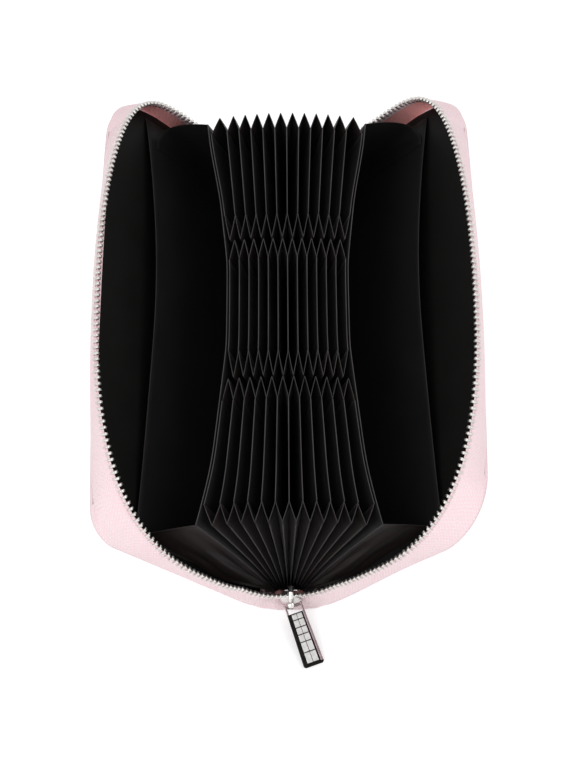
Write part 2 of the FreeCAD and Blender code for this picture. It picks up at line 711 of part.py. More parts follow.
def pull():
    """The pull hangs on the bridge by its end bar and rests on the ground."""
    body = doc.addObject("PartDesign::Body", "pull_frame")
    outline = sketch_on(body, "pull_outline", "XY_Plane", "-sheet.pull_thick / 2")
    wide = "sheet.pull_width / 2"
    narrow = "(sheet.pull_width / 2 - sheet.pull_corner)"
    corner = "-(sheet.pull_length - sheet.pull_corner)"
    corners = [
        (-4, 0, f"-{wide}", "0"),
        (-4, -27, f"-{wide}", corner),
        (-3, -28, f"-{narrow}", "-sheet.pull_length"),
        (3, -28, narrow, "-sheet.pull_length"),
        (4, -27, wide, corner),
        (4, 0, wide, "0"),
    ]
    polygon(outline, corners)
    slab = pad(body, outline, "pull_slab", "sheet.pull_thick")
    doc.recompute()
    top = max(slab.Shape.Faces, key=lambda face: face.CenterOfMass.z)
    top_name = next(f"Face{i}" for i, face in enumerate(slab.Shape.Faces, start=1) if face.isSame(top))
    bevel = body.newObject("PartDesign::Chamfer", "pull_bevel_edge")
    bevel.Base = (slab, [top_name])
    bevel.setExpression("Size", "sheet.pull_bevel")
    eye = sketch_on(body, "pull_eye_outline", "XY_Plane", "sheet.pull_thick / 2")
    half = "(sheet.pull_eye_width / 2)"
    rectangle(eye, (-2, f"-{half}"), (2, half), (-5, "-sheet.pull_eye_length"), (1, "sheet.pull_bar_radius"))
    pocket(body, eye, "pull_eye", "sheet.pull_thick")
    bar = sketch_on(body, "pull_bar_outline", "YZ_Plane", "-sheet.pull_width / 2")
    bar.addGeometry(Part.Circle(Vector(0, 0, 0), Vector(0, 0, 1), 1))
    bar.addConstraint(Sketcher.Constraint("Coincident", 0, 3, -1, 1))
    constrain(bar, "radius", "sheet.pull_bar_radius", "Radius", 0, 1)
    pad(body, bar, "pull_bar", "sheet.pull_width")
    panel = sketch_on(body, "pull_panel_outline", "XY_Plane", "sheet.pull_thick / 2")
    rectangle(panel, (-2, f"-{PANEL_HALF}"), (2, PANEL_HALF), (-26, f"-{PANEL_END}"), (-9, f"-{PANEL_TOP}"))
    pocket(body, panel, "pull_panel", "sheet.pull_recess")
    body.setExpression("Placement", PULL_PLACE)
    keep(body, "pull_frame")

    rows = int(size("tile_rows"))
    high = f"(({PANEL_END} - {PANEL_TOP} - sheet.tile_gap) / sheet.tile_rows - sheet.tile_gap)"
    wide = f"({PANEL_HALF} - sheet.tile_gap * 1.5)"
    floor = "(sheet.pull_thick / 2 - sheet.pull_recess)"
    tiles = []
    for row in range(rows):
        for column, across in enumerate((f"(-{wide} - sheet.tile_gap / 2)", "(sheet.tile_gap / 2)")):
            along = f"(-{PANEL_END} + sheet.tile_gap + {row} * ({high} + sheet.tile_gap))"
            place = f"{PULL_PLACE} * placement(vector({across}; {along}; {floor}); rotation(0; 0; 0))"
            tiles.append(block(f"tile_{row}_{column}", wide, high, "sheet.tile_thick", place))
    group = doc.addObject("Part::Compound", "pull_tiles")
    group.Links = tiles
    keep(group, "pull_tiles")


# Build, check and write every sub-part

spine()
covers()
zip_rows()
dividers()
pocket_gussets()
side_gussets()
slider()
pull()
doc.recompute()

faults = []
for obj in doc.Objects:
    if "Invalid" in obj.State or "Error" in obj.State:
        faults.append(f"{obj.Name} {obj.State}")
for label, obj in SUBPARTS.items():
    if obj.Shape.isNull() or not obj.Shape.isValid():
        faults.append(f"{label} has no sound shape")
if faults:
    raise RuntimeError("; ".join(faults))

os.makedirs("parts", exist_ok=True)
for label, obj in SUBPARTS.items():
    obj.Shape.exportStep(f"parts/{label}.step")
print(len(SUBPARTS), "sub-parts written")
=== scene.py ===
# %% [markdown]
# An open zip-around wallet with an accordion of card pockets stands on its spine, mouth up.
# The CAD frame already has every piece in its place. Here each soft piece is dressed as leather, satin,
# woven tape or metal, and most new pieces ride on the CAD body that carries them.

# %% Load the frame
import math

import bmesh
import bpy
import numpy as np
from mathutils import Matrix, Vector


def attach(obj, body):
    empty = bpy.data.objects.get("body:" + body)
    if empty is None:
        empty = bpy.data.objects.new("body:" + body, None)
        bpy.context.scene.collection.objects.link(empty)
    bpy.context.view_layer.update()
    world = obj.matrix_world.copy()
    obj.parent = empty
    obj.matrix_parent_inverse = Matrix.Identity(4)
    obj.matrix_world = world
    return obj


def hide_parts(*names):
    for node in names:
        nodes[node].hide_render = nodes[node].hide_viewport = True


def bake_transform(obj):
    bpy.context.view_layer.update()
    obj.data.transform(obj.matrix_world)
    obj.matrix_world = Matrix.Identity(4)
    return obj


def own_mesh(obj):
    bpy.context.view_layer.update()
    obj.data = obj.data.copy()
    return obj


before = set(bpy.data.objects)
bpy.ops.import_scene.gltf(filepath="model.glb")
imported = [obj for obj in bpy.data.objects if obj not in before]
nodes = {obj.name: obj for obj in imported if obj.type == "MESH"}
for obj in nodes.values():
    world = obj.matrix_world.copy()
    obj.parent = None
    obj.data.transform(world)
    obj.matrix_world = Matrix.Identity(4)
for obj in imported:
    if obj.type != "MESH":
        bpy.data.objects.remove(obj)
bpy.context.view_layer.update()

# %% [markdown]
# All shapes are worked out in millimetres, in the same frame as the solids: x across the wallet, y along it,
# z up. A cover is easier to think of flat, so one function turns a place on the flat cover into a place in
# the room. There, u runs up the cover from its fold, n runs from its board into the wallet, and y runs along.

# %% Sizes and the cover's own frame
MM = 0.001
SIDES = {"front": -1, "back": 1}
LEAN = math.radians(38)
FOLD_X = 12.0
FOLD_Z = 1.2
COVER_HIGH = 101.0
COVER_HALF = 101.5
CORNERS = {(-1, -1): 12.0, (-1, 1): 22.0, (1, -1): 24.0, (1, 1): 21.0}
COVER_BOW = 3.4
NEAR_SWELL = 1.6


def on_cover(side, u, n, y):
    """Room coordinates of a place on a cover."""
    u, n, y = np.broadcast_arrays(np.asarray(u, float), n, y)
    x = side * (FOLD_X - n * math.cos(LEAN) + u * math.sin(LEAN))
    z = FOLD_Z + n * math.sin(LEAN) + u * math.cos(LEAN)
    return np.stack([x, y, z], axis=-1)


def bow(u, y):
    """How far the leather cover bends outward, most at the middle of its long free edge."""
    up = np.clip(u / COVER_HIGH, 0, 1)
    along = np.clip(y / COVER_HALF, -1, 1)
    return COVER_BOW * up ** 2 * (1 - along ** 2)


def on_bowed(side, u, n, y):
    """Room coordinates of a place on a cover that bends outward."""
    return on_cover(side, u, n - bow(u, y), y)


def inward(side):
    """The direction from a cover's board into the wallet."""
    return np.array([-side * math.cos(LEAN), 0.0, math.sin(LEAN)])


def upward(side):
    """The direction up a cover, away from its fold."""
    return np.array([side * math.sin(LEAN), 0.0, math.cos(LEAN)])


def ease(t):
    """A smooth step from 0 to 1."""
    t = np.clip(t, 0, 1)
    return t * t * (3 - 2 * t)


def near_fullness(side, u):
    """How far the leather swells past its near end, where the open zip pulls on it."""
    return NEAR_SWELL * (1 - (side > 0) * ease((u - 15) / 45))


def cover_end(side, way, u, inset):
    """Where a cover with its round corners ends along y at a height: way -1 is near, 1 is far."""
    radius = CORNERS[side, way]
    over = np.clip(u - (COVER_HIGH - radius), 0, radius - inset)
    reach = COVER_HALF - radius + np.sqrt((radius - inset) ** 2 - over ** 2)
    return way * (reach + (way < 0) * near_fullness(side, u))


def cover_line(side, u, inset, share):
    """Places along y from a cover's near end, share -1, to its far end, share 1."""
    near, far = cover_end(side, -1, u, inset), cover_end(side, 1, u, inset)
    return near + (far - near) * (share + 1) / 2


def cover_heights(foot, inset, count):
    """Heights of the rows up a cover, closer together round its corners."""
    radius = max(CORNERS.values())
    straight = np.linspace(foot, COVER_HIGH - radius, count)
    turn = np.linspace(0, math.pi / 2, 17)[1:]
    return np.concatenate([straight, COVER_HIGH - radius + (radius - inset) * np.sin(turn)])


print("cover leans", round(math.degrees(LEAN)), "degrees from upright")

# %% [markdown]
# Cloth, leather and card are all thin sheets with a real edge. One helper takes the two faces of a sheet as
# grids of points and closes them with a rounded rim, so no sheet is ever a bare plane. The lengths along the
# grid are kept as a texture map in metres, so that grain and weave have their true scale on every piece.
# Where a sheet has two finishes, marks give them to its outer face, its inner face and its rim.

# %% Helpers that make meshes
ONE_FINISH = (0, 0, 0)
# The rim finish of a two-finish sheet is painted lighter, a painted highlight along its edge.
HIGHLIGHT_RIM = (0, 0, 1)
CLOSED_ENDS = (False, False)


def add_mesh(name, points, faces, materials, marks=None, flat_map=None, smooth=True):
    """A mesh object from points in millimetres."""
    mesh = bpy.data.meshes.new(name)
    mesh.from_pydata((np.asarray(points, float) * MM).tolist(), [], faces)
    for material in materials:
        mesh.materials.append(material)
    if marks is not None:
        mesh.polygons.foreach_set("material_index", np.asarray(marks, np.int32))
    if flat_map is not None:
        layer = mesh.uv_layers.new(name="flat")
        corner_points = np.empty(len(mesh.loops), np.int32)
        mesh.loops.foreach_get("vertex_index", corner_points)
        layer.data.foreach_set("uv", (flat_map[corner_points] * MM).astype(np.float32).ravel())
    work = bmesh.new()
    work.from_mesh(mesh)
    bmesh.ops.recalc_face_normals(work, faces=work.faces)
    work.to_mesh(mesh)
    work.free()
    mesh.polygons.foreach_set("use_smooth", np.full(len(mesh.polygons), smooth, bool))
    piece = bpy.data.objects.new(name, mesh)
    bpy.context.scene.collection.objects.link(piece)
    return piece


def unit(vectors):
    """The same directions at length 1."""
    length = np.linalg.norm(vectors, axis=-1, keepdims=True)
    return vectors / np.maximum(length, 1e-9)


def both_faces(middle, thick, toward):
    """The two faces of a sheet, the first on the side of a direction."""
    down = np.gradient(middle, axis=0)
    across = np.gradient(middle, axis=1)
    normal = unit(np.cross(down, across))
    if np.sum(normal * toward) < 0:
        normal = -normal
    return middle + normal * thick / 2, middle - normal * thick / 2


def rim_order(rows, columns):
    """Grid places round the edge of a sheet, each with its neighbour inside."""
    ring = [(0, c) for c in range(columns)]
    ring += [(r, columns - 1) for r in range(1, rows)]
    ring += [(rows - 1, c) for c in range(columns - 2, -1, -1)]
    ring += [(r, 0) for r in range(rows - 2, 0, -1)]
    inside = [(min(max(r, 1), rows - 2), min(max(c, 1), columns - 2)) for r, c in ring]
    return ring, inside


def sheet_parts(outer, inner, rim_round, marks, open_ends):
    """Points, faces, marks and flat map of a sheet with a rounded rim, open where a strip goes on."""
    rows, columns = outer.shape[:2]
    count = rows * columns
    ring, inside = rim_order(rows, columns)
    ring_index = np.array([r * columns + c for r, c in ring])
    inside_index = np.array([r * columns + c for r, c in inside])
    flat_outer = outer.reshape(-1, 3)
    flat_inner = inner.reshape(-1, 3)
    middle = (flat_outer + flat_inner) / 2
    through = flat_outer[ring_index] - flat_inner[ring_index]
    push = middle[ring_index] - middle[inside_index]
    push -= unit(through) * np.sum(push * unit(through), axis=1, keepdims=True)
    push = unit(push) * np.linalg.norm(through, axis=1, keepdims=True) * rim_round
    points = np.concatenate([flat_outer, flat_inner, middle[ring_index] + push])
    faces = []
    face_marks = []
    for r in range(rows - 1):
        for c in range(columns - 1):
            a = r * columns + c
            quad = [a, a + 1, a + columns + 1, a + columns]
            faces.append(quad)
            faces.append([count + k for k in reversed(quad)])
            face_marks += [marks[0], marks[1]]
    size = len(ring)
    for k in range(size):
        following = (k + 1) % size
        if any(gone and ring[k][1] == ring[following][1] == end
               for gone, end in zip(open_ends, (0, columns - 1))):
            continue
        rim_here, rim_next = 2 * count + k, 2 * count + following
        faces.append([ring_index[k], rim_here, rim_next, ring_index[following]])
        faces.append([count + ring_index[k], count + ring_index[following], rim_next, rim_here])
        face_marks += [marks[2], marks[2]]
    faces = [[int(k) for k in face] for face in faces]
    steps = np.linalg.norm(np.diff(outer, axis=1), axis=2)
    along = np.concatenate([np.zeros((rows, 1)), np.cumsum(steps, axis=1)], axis=1)
    along -= along[:, columns // 2: columns // 2 + 1]
    climb = np.linalg.norm(np.diff(outer[:, columns // 2], axis=0), axis=1)
    up = np.concatenate([[0], np.cumsum(climb)])
    flat = np.stack([along, np.repeat(up[:, None], columns, axis=1)], axis=-1).reshape(-1, 2)
    flat_map = np.concatenate([flat, flat, flat[ring_index]])
    return points, faces, face_marks, flat_map


def join_shapes(shapes):
    """Several shapes as one, each given as points and faces."""
    points, faces = [], []
    start = 0
    for shape_points, shape_faces in shapes:
        points.append(shape_points)
        faces += [[k + start for k in face] for face in shape_faces]
        start += len(shape_points)
    return np.concatenate(points), faces


def add_sheet(name, faces_of_sheets, materials, marks=ONE_FINISH, rim_round=0.5, open_ends=CLOSED_ENDS):
    """A piece made of one or more sheets, each given as (outer, inner)."""
    parts = [sheet_parts(outer, inner, rim_round, marks, open_ends) for outer, inner in faces_of_sheets]
    points, faces = join_shapes([part[:2] for part in parts])
    face_marks = [mark for part in parts for mark in part[2]]
    flat_map = np.concatenate([part[3] for part in parts])
    return add_mesh(name, points, faces, materials, face_marks, flat_map)


def resample(points, count):
    """The same line with its points at even distances."""
    steps = np.linalg.norm(np.diff(points, axis=0), axis=1)
    along = np.concatenate([[0], np.cumsum(steps)])
    even = np.linspace(0, along[-1], count)
    return np.stack([np.interp(even, along, points[:, k]) for k in range(points.shape[1])], axis=1)


def line_length(points):
    """The length of a line of points."""
    return float(np.linalg.norm(np.diff(points, axis=0), axis=1).sum())


print("mesh helpers ready")

# %% [markdown]
# A finish is a material made of nodes. The colours are written as they look on a screen and turned into
# linear light here. Each finish gets its own small relief: a cross-hatched grain on the leather, a twill on
# the satin, a herringbone on the zip tape. The relief uses the flat map in metres, so its scale is real.

# %% Helpers that make finishes
WAVE_TURN = 20  # radians that Blender's wave texture runs through in one unit at scale 1


def screen(red, green, blue):
    """A screen colour, 0 to 255, as linear light."""
    def linear(value):
        value /= 255
        return value / 12.92 if value <= 0.04045 else ((value + 0.055) / 1.055) ** 2.4
    return (linear(red), linear(green), linear(blue), 1.0)


def new_finish(name, roughness, **values):
    """A material with its shader, and the shader's fixed values set on its own sockets."""
    material = bpy.data.materials.new(name)
    material.use_nodes = True
    tree = material.node_tree
    shader = tree.nodes["Principled BSDF"]
    shader.inputs["Roughness"].default_value = roughness
    for socket, value in values.items():
        shader.inputs[socket.replace("_", " ")].default_value = value
    return material, tree, shader


def add_node(tree, kind, inputs=None, **settings):
    """A node with some of its settings and inputs; an input is a value, or another node's output to link."""
    node = tree.nodes.new(kind)
    for name, value in settings.items():
        setattr(node, name, value)
    for name, value in (inputs or {}).items():
        if isinstance(value, bpy.types.NodeSocket):
            tree.links.new(value, node.inputs[name])
        else:
            node.inputs[name].default_value = value
    return node


def flat_place(tree, degrees=0):
    """The flat map in metres, turned."""
    flat = add_node(tree, "ShaderNodeUVMap", uv_map="flat").outputs["UV"]
    inputs = {"Vector": flat, "Rotation": (0, 0, math.radians(degrees))}
    return add_node(tree, "ShaderNodeMapping", inputs).outputs["Vector"]


def room_place(tree):
    """The place on the object itself, in metres."""
    return add_node(tree, "ShaderNodeTexCoord").outputs["Object"]


def noise(tree, place, scale, detail=3.0):
    """Cloudy values from 0 to 1."""
    inputs = {"Vector": place, "Scale": scale, "Detail": detail, "Roughness": 0.55}
    return add_node(tree, "ShaderNodeTexNoise", inputs).outputs["Fac"]


def waves(tree, place, pitch, distortion):
    """Even bands across the first direction of a place, pitch in metres."""
    scale = 2 * math.pi / WAVE_TURN / pitch
    inputs = {"Vector": place, "Scale": scale, "Distortion": distortion, "Detail": 1.0}
    bands = dict(wave_type="BANDS", bands_direction="X", wave_profile="SIN")
    return add_node(tree, "ShaderNodeTexWave", inputs, **bands).outputs["Fac"]


def combine(tree, operation, *values):
    """Two or three values put together."""
    return add_node(tree, "ShaderNodeMath", dict(enumerate(values)), operation=operation).outputs[0]


def tint(tree, shader, value, dark, light, low=0.3, high=0.7):
    """Colours the shader from dark to light by a value."""
    ramp = add_node(tree, "ShaderNodeValToRGB", {"Fac": value})
    for stop, place, colour in zip(ramp.color_ramp.elements, (low, high), (dark, light)):
        stop.position = place
        stop.color = colour
    tree.links.new(ramp.outputs["Color"], shader.inputs["Base Color"])


def relief(tree, shader, value, depth, strength):
    """Bumps on the surface, depth in metres."""
    bump = add_node(tree, "ShaderNodeBump", {"Height": value, "Distance": depth, "Strength": strength})
    tree.links.new(bump.outputs["Normal"], shader.inputs["Normal"])


def vary_roughness(tree, shader, value, low, high):
    """Roughness that changes a little over the surface."""
    span = add_node(tree, "ShaderNodeMapRange", {"Value": value, "To Min": low, "To Max": high})
    tree.links.new(span.outputs["Result"], shader.inputs["Roughness"])


print("finish helpers ready")

# %% [markdown]
# The leather is a pale pink, pressed with a fine cross-hatched grain, slightly pebbled, with a soft gloss.
# Two sets of fine waves at plus and minus 45 degrees make the hatch, and a cloudy noise breaks them up.

# %% Leather finishes
HATCH_PITCH = 0.0012
LEATHER_RELIEF = 0.00022


def leather(name, dark, light, gloss, hatched):
    """Cross-hatched leather from a darker to a lighter tone."""
    material, tree, shader = new_finish(name, gloss, Specular_IOR_Level=0.4)
    hatch_one = waves(tree, flat_place(tree, 45), HATCH_PITCH, 1.0)
    hatch_two = waves(tree, flat_place(tree, -45), HATCH_PITCH, 1.0)
    pebble = noise(tree, flat_place(tree), 900.0)
    cloud = noise(tree, room_place(tree), 35.0)
    hatch = combine(tree, "MULTIPLY", hatch_one, hatch_two)
    height = combine(tree, "ADD", hatch, combine(tree, "MULTIPLY", pebble, 0.5))
    soft_tone = combine(tree, "MULTIPLY", cloud, 0.4)
    tone = combine(tree, "ADD", soft_tone, combine(tree, "MULTIPLY", hatch, hatched))
    tint(tree, shader, tone, dark, light, 0.08, 0.4)
    vary_roughness(tree, shader, height, gloss - 0.08, gloss + 0.1)
    relief(tree, shader, height, LEATHER_RELIEF, 0.8)
    return material


pink_leather = leather("pink_leather", screen(247, 211, 217), screen(253, 233, 237), gloss=0.5, hatched=0.4)
# The band's inside is the same pink leather, coloured a deeper rose as painted shade and warm bounce light.
shade_rose_leather = leather("painted_shade_band_inside", screen(240, 156, 154), screen(253, 186, 182),
                       gloss=0.6, hatched=0.1)
print("leather:", pink_leather.name, shade_rose_leather.name)

# %% [markdown]
# Inside, everything is black: a satin lining, fabric-faced card dividers and thin satin gussets. They are
# told apart by how they shine. Dividers are matt, the lining has a low sheen, and the gussets are glossier.
# The cut edges of the dividers and gussets are painted a shade lighter as a highlight where they catch the
# light, which draws the fine lines of the accordion.

# %% Black cloth finishes
FINE_TWILL = 0.0005
COARSE_TWILL = 0.0006
TWILL_RELIEF = 0.00003


def black_cloth(name, pitch, dark, light, roughness, specular, sheen):
    """A fine twill: waves along the cloth's bias with a little cloudiness."""
    material, tree, shader = new_finish(
        name, roughness, Specular_IOR_Level=specular, Sheen_Weight=sheen, Sheen_Roughness=0.5)
    twill = waves(tree, flat_place(tree, 40), pitch, 0.3)
    cross = waves(tree, flat_place(tree, -50), pitch * 0.8, 0.3)
    weave = combine(tree, "ADD", twill, combine(tree, "MULTIPLY", cross, 0.4))
    cloud = noise(tree, room_place(tree), 60.0)
    tint(tree, shader, cloud, dark, light)
    vary_roughness(tree, shader, cloud, roughness - 0.06, roughness + 0.06)
    relief(tree, shader, weave, TWILL_RELIEF, 0.5)
    return material


black_lining = black_cloth("black_lining", COARSE_TWILL, screen(9, 8, 7), screen(12, 11, 10),
                           roughness=0.55, specular=0.11, sheen=0.01)
pocket_cloth = black_cloth("note_pocket_cloth", COARSE_TWILL, screen(14, 13, 13), screen(18, 17, 17),
                           roughness=0.58, specular=0.13, sheen=0.02)
divider_cloth = black_cloth("divider_cloth", FINE_TWILL, screen(12, 11, 12), screen(16, 15, 16),
                            roughness=0.6, specular=0.14, sheen=0.02)
gusset_satin = black_cloth("gusset_satin", FINE_TWILL, screen(19, 13, 13), screen(27, 19, 19),
                           roughness=0.46, specular=0.17, sheen=0.03)
# The cut edges are painted lighter than the cloth, a painted highlight where they catch the light.
rim_highlight_cloth = black_cloth("painted_highlight_cut_edges", FINE_TWILL, screen(62, 60, 60), screen(76, 74, 73),
                         roughness=0.7, specular=0.2, sheen=0.1)
# A fainter painted highlight for the rims of the note pockets and the near gussets.
faint_rim_highlight = black_cloth("painted_highlight_pocket_rim", FINE_TWILL, screen(34, 31, 30), screen(42, 39, 38),
                         roughness=0.7, specular=0.2, sheen=0.05)
print("black cloths:", black_lining.name, pocket_cloth.name, divider_cloth.name, gusset_satin.name)

# %% [markdown]
# The zip tape is a narrow woven strip in pink with a herringbone, and the thread on the covers is tonal.
# The zip is bright nickel with fine wear in its gloss. The pull's frame is one dark chrome; one side is
# painted smoky and pale as a reflection of the white and pink around it, and its inset tiles are pale.

# %% Tape, thread and metal finishes
TAPE_PITCH = 0.0007
THREAD_RELIEF = 0.00008


def woven_tape(name, dark, light):
    """Herringbone tape: two slanting twills laid over each other."""
    material, tree, shader = new_finish(name, 0.75, Specular_IOR_Level=0.25, Sheen_Weight=0.15)
    left = waves(tree, flat_place(tree, 35), TAPE_PITCH, 0.2)
    right = waves(tree, flat_place(tree, -35), TAPE_PITCH, 0.2)
    height = combine(tree, "MAXIMUM", left, right)
    tint(tree, shader, height, dark, light)
    relief(tree, shader, height, THREAD_RELIEF, 0.8)
    return material


def thread_finish(name, dark, light):
    """Twisted sewing thread."""
    material, tree, shader = new_finish(name, 0.6, Specular_IOR_Level=0.3, Sheen_Weight=0.2)
    fibres = noise(tree, room_place(tree), 2500.0)
    tint(tree, shader, fibres, dark, light)
    relief(tree, shader, fibres, THREAD_RELIEF, 0.6)
    return material


def metal(name, dark, light, roughness):
    """Polished metal with fine wear in its gloss."""
    material, tree, shader = new_finish(name, roughness, Metallic=1.0)
    wear = noise(tree, room_place(tree), 700.0, 4.0)
    tint(tree, shader, wear, dark, light)
    vary_roughness(tree, shader, wear, roughness * 0.7, roughness * 1.5)
    relief(tree, shader, wear, 0.00001, 0.3)
    return material


pink_tape = woven_tape("pink_zip_tape", screen(240, 205, 210), screen(252, 229, 232))
pink_thread = thread_finish("pink_thread", screen(238, 190, 197), screen(250, 212, 217))
nickel = metal("zip_nickel", screen(202, 199, 195), screen(226, 224, 221), 0.3)
chrome = metal("slider_chrome", screen(214, 212, 210), screen(236, 235, 233), 0.2)
dark_chrome = metal("pull_dark_chrome", screen(22, 20, 20), screen(38, 35, 35), 0.14)
# The smoky half of the pull's frame is the same dark chrome with a painted reflection of the white and pink
# around it.
reflection_painted_chrome = metal("pull_painted_reflection_half", screen(108, 95, 96), screen(142, 126, 128), 0.2)
pale_tile = metal("pull_pale_tile", screen(178, 176, 174), screen(200, 198, 197), 0.34)
zip_finishes = (pink_tape, pink_thread, nickel, chrome, dark_chrome, reflection_painted_chrome, pale_tile)
print("zip finishes:", [finish.name for finish in zip_finishes])

# %% [markdown]
# Each half of the outer leather runs from the middle of the spine, round the fold and up the whole cover,
# where it is turned over the board's edge. It is built as rows along that section, each as long as the cover
# is there, so the top corners come out round.

# %% Leather covers
SKIN_OUT = -1.4
SKIN_IN = 0.95
EDGE_TURN = 0.8
SPINE_SKIN = 1.0
BEND_INSIDE = 0.2
BEND_OUTSIDE = 1.2
BEND_GROWTH = 0.2
FOLD_PULL = 0.9


def spine_section():
    """The section from the spine's middle round the fold, as (outer point, inner point), for positive x."""
    rows = [((x, 0.0), (x, SPINE_SKIN)) for x in np.linspace(0, FOLD_X, 9)[:-1]]
    sweep = np.linspace(-math.pi / 2, -LEAN, 9)
    centre = np.array([FOLD_X, FOLD_Z])
    for k, angle in enumerate(sweep):
        reach = BEND_OUTSIDE + BEND_GROWTH * k / (len(sweep) - 1)
        arm = np.array([math.cos(angle), math.sin(angle)])
        rows.append((centre + arm * reach, centre + arm * BEND_INSIDE))
    return rows


def drawn_in(distance):
    """The share of its length that the leather keeps near the fold, where its ends are drawn in."""
    return 1 - FOLD_PULL / COVER_HALF * math.exp(-distance ** 2)


def leather_cover(side_name):
    """Half of the leather: spine, fold and cover with its turned edge."""
    side = SIDES[side_name]
    share = np.linspace(-1, 1, 81)
    share = np.sign(share) * (1 - (1 - np.abs(share)) ** 1.25)
    outer, inner = [], []
    for out_point, in_point in spine_section():
        from_fold = abs(out_point[0] - FOLD_X)
        line = cover_line(side, 0.0, EDGE_TURN, share) * drawn_in(from_fold / 5)
        for face, (x, z) in ((outer, out_point), (inner, in_point)):
            face.append(np.stack([np.full_like(line, side * x), line, np.full_like(line, z)], 1))
    for u in np.concatenate([np.linspace(1.0, 8.0, 8), cover_heights(12.0, EDGE_TURN, 16)]):
        line = cover_line(side, u, EDGE_TURN, share) * drawn_in(u / 6)
        leather_in = -BEND_INSIDE + (SKIN_IN + BEND_INSIDE) * ease((u - 0.5) / 6)
        outer.append(on_bowed(side, u, SKIN_OUT, line))
        inner.append(on_bowed(side, u, leather_in, line))
    piece = add_sheet(f"{side_name}_leather_cover", [(np.array(outer), np.array(inner))], [pink_leather])
    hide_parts(f"{side_name}_cover_skin", f"{side_name}_cover_board")
    end = on_cover(side, 4.0, 0.0, 0.0) * MM
    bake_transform(piece)
    return piece


covers = {name: leather_cover(name) for name in SIDES}
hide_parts("spine_skin", "spine_board")
print("leather covers:", [piece.name for piece in covers.values()])

# %% [markdown]
# A row of tonal stitches follows the cover's free edges on the outside, where the zip band is sewn in. Each
# stitch is a short bead of thread, sunk a little at both ends, repeated along the outline at an even pitch.

# %% Stitching on the covers
STITCH_INSET = 3.4
STITCH_FOOT = 7.0
STITCH_PITCH = 3.3
STITCH_LONG = 2.6
STITCH_THICK = 0.62
STITCH_LIFT = 0.02


def cover_outline(side, inset, foot):
    """The cover's three free edges as (y, u), from the near foot to the far foot."""
    half = COVER_HALF - inset
    turn = np.linspace(0, math.pi / 2, 24)
    corners = {}
    for way in (-1, 1):
        radius = CORNERS[side, way]
        y = way * (COVER_HALF - radius + (radius - inset) * np.cos(turn))
        corners[way] = np.stack([y, COVER_HIGH - radius + (radius - inset) * np.sin(turn)], 1)
    corners[-1][:, 0] -= near_fullness(side, corners[-1][:, 1]) * np.cos(turn)
    rise = np.linspace(foot, corners[-1][0, 1], 40)[:-1]
    near = np.stack([-half - near_fullness(side, rise), rise], 1)
    fall = np.linspace(corners[1][0, 1], foot, 40)[1:]
    far = np.stack([np.full_like(fall, half), fall], 1)
    return np.concatenate([near, corners[-1], corners[1][::-1], far])


def ring_faces(rings, sides):
    """Faces of a round bar made of rings of points, closed at both ends."""
    faces = []
    for ring in range(rings - 1):
        for k in range(sides):
            following = (k + 1) % sides
            a, b = ring * sides + k, ring * sides + following
            faces.append([a, b, b + sides, a + sides])
    faces.append(list(range(sides))[::-1])
    faces.append([(rings - 1) * sides + k for k in range(sides)])
    return faces


def bead(length, thick, sides=6):
    """Points and faces of one stitch along x, fullest at its middle."""
    rings = [(-0.5, 0.12), (-0.38, 0.75), (-0.15, 1.0), (0.15, 1.0), (0.38, 0.75), (0.5, 0.12)]
    turn = np.arange(sides) * 2 * math.pi / sides
    points = []
    for place, share in rings:
        reach = share * thick / 2
        points += [(place * length, reach * math.cos(angle), reach * math.sin(angle)) for angle in turn]
    return np.array(points), ring_faces(len(rings), sides)


def place_copies(shape, centres, first, second, third):
    """One shape repeated at many places, each with its own three directions."""
    points, faces = shape
    count = len(points)
    everywhere = (centres[:, None, :] + points[None, :, 0:1] * first[:, None, :]
                  + points[None, :, 1:2] * second[:, None, :] + points[None, :, 2:3] * third[:, None, :])
    all_faces = [[int(k + copy * count) for k in face] for copy in range(len(centres)) for face in faces]
    return everywhere.reshape(-1, 3), all_faces


def cover_stitches(side_name):
    """Stitches round a cover's free edges."""
    side = SIDES[side_name]
    line = cover_outline(side, STITCH_INSET, STITCH_FOOT)
    count = int(line_length(line) / STITCH_PITCH)
    line = resample(line, count * 8 + 1)[4::8][:count]
    y, u = line[:, 0], line[:, 1]
    depth = SKIN_OUT - bow(u, y) - STITCH_LIFT
    centres = on_cover(side, u, depth, y)
    ahead = unit(np.gradient(centres, axis=0))
    out = np.repeat(-inward(side)[None, :], count, axis=0)
    across = unit(np.cross(ahead, out))
    points, faces = place_copies(bead(STITCH_LONG, STITCH_THICK), centres, ahead, across, out)
    piece = add_mesh(f"{side_name}_cover_stitching", points, faces, [pink_thread])
    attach(piece, f"{side_name}_cover")
    return count


for name in SIDES:
    print(name, "cover stitches:", cover_stitches(name))

# %% [markdown]
# The satin lining covers the inside of each cover, a little inside its edge. In front of it lies a large
# flat pocket for notes, sewn along three sides, whose free upper edge gapes a few millimetres at the middle.

# %% Linings and note pockets
SLIP_FOOT = 4.0
SLIP_TOP = 76.0
SLIP_HALF = 96.5
SLIP_GAPE = 6.0
SLIP_END_RISE = {-1: 2.6, 1: 4.6}
SLIP_DEPTH = 1.65
SLIP_THICK = 0.5
LINING_INSET = 1.7
LINING_BACK = 0.9
LINING_FACE = 1.2


def press_flat(piece, side_name, depth):
    """Gives a piece its own copy of its mesh."""
    side = SIDES[side_name]
    tuple(on_cover(side, 0, depth, 0) * MM)
    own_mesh(piece)


def cover_lining(side_name):
    """Satin over the inside of a cover."""
    side = SIDES[side_name]
    share = np.linspace(-1, 1, 61)
    face, back = [], []
    for u in cover_heights(1.6, LINING_INSET, 24):
        line = cover_line(side, u, LINING_INSET, share) + 0.8 * ease(share) * (1 - ease((u - 74) / 8))
        back.append(on_bowed(side, u, LINING_BACK, line))
        face.append(on_bowed(side, u, LINING_FACE, line))
    piece = add_sheet(f"{side_name}_satin_lining", [(np.array(face), np.array(back))], [black_lining])
    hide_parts(f"{side_name}_cover_lining")
    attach(piece, f"{side_name}_cover")
    return piece


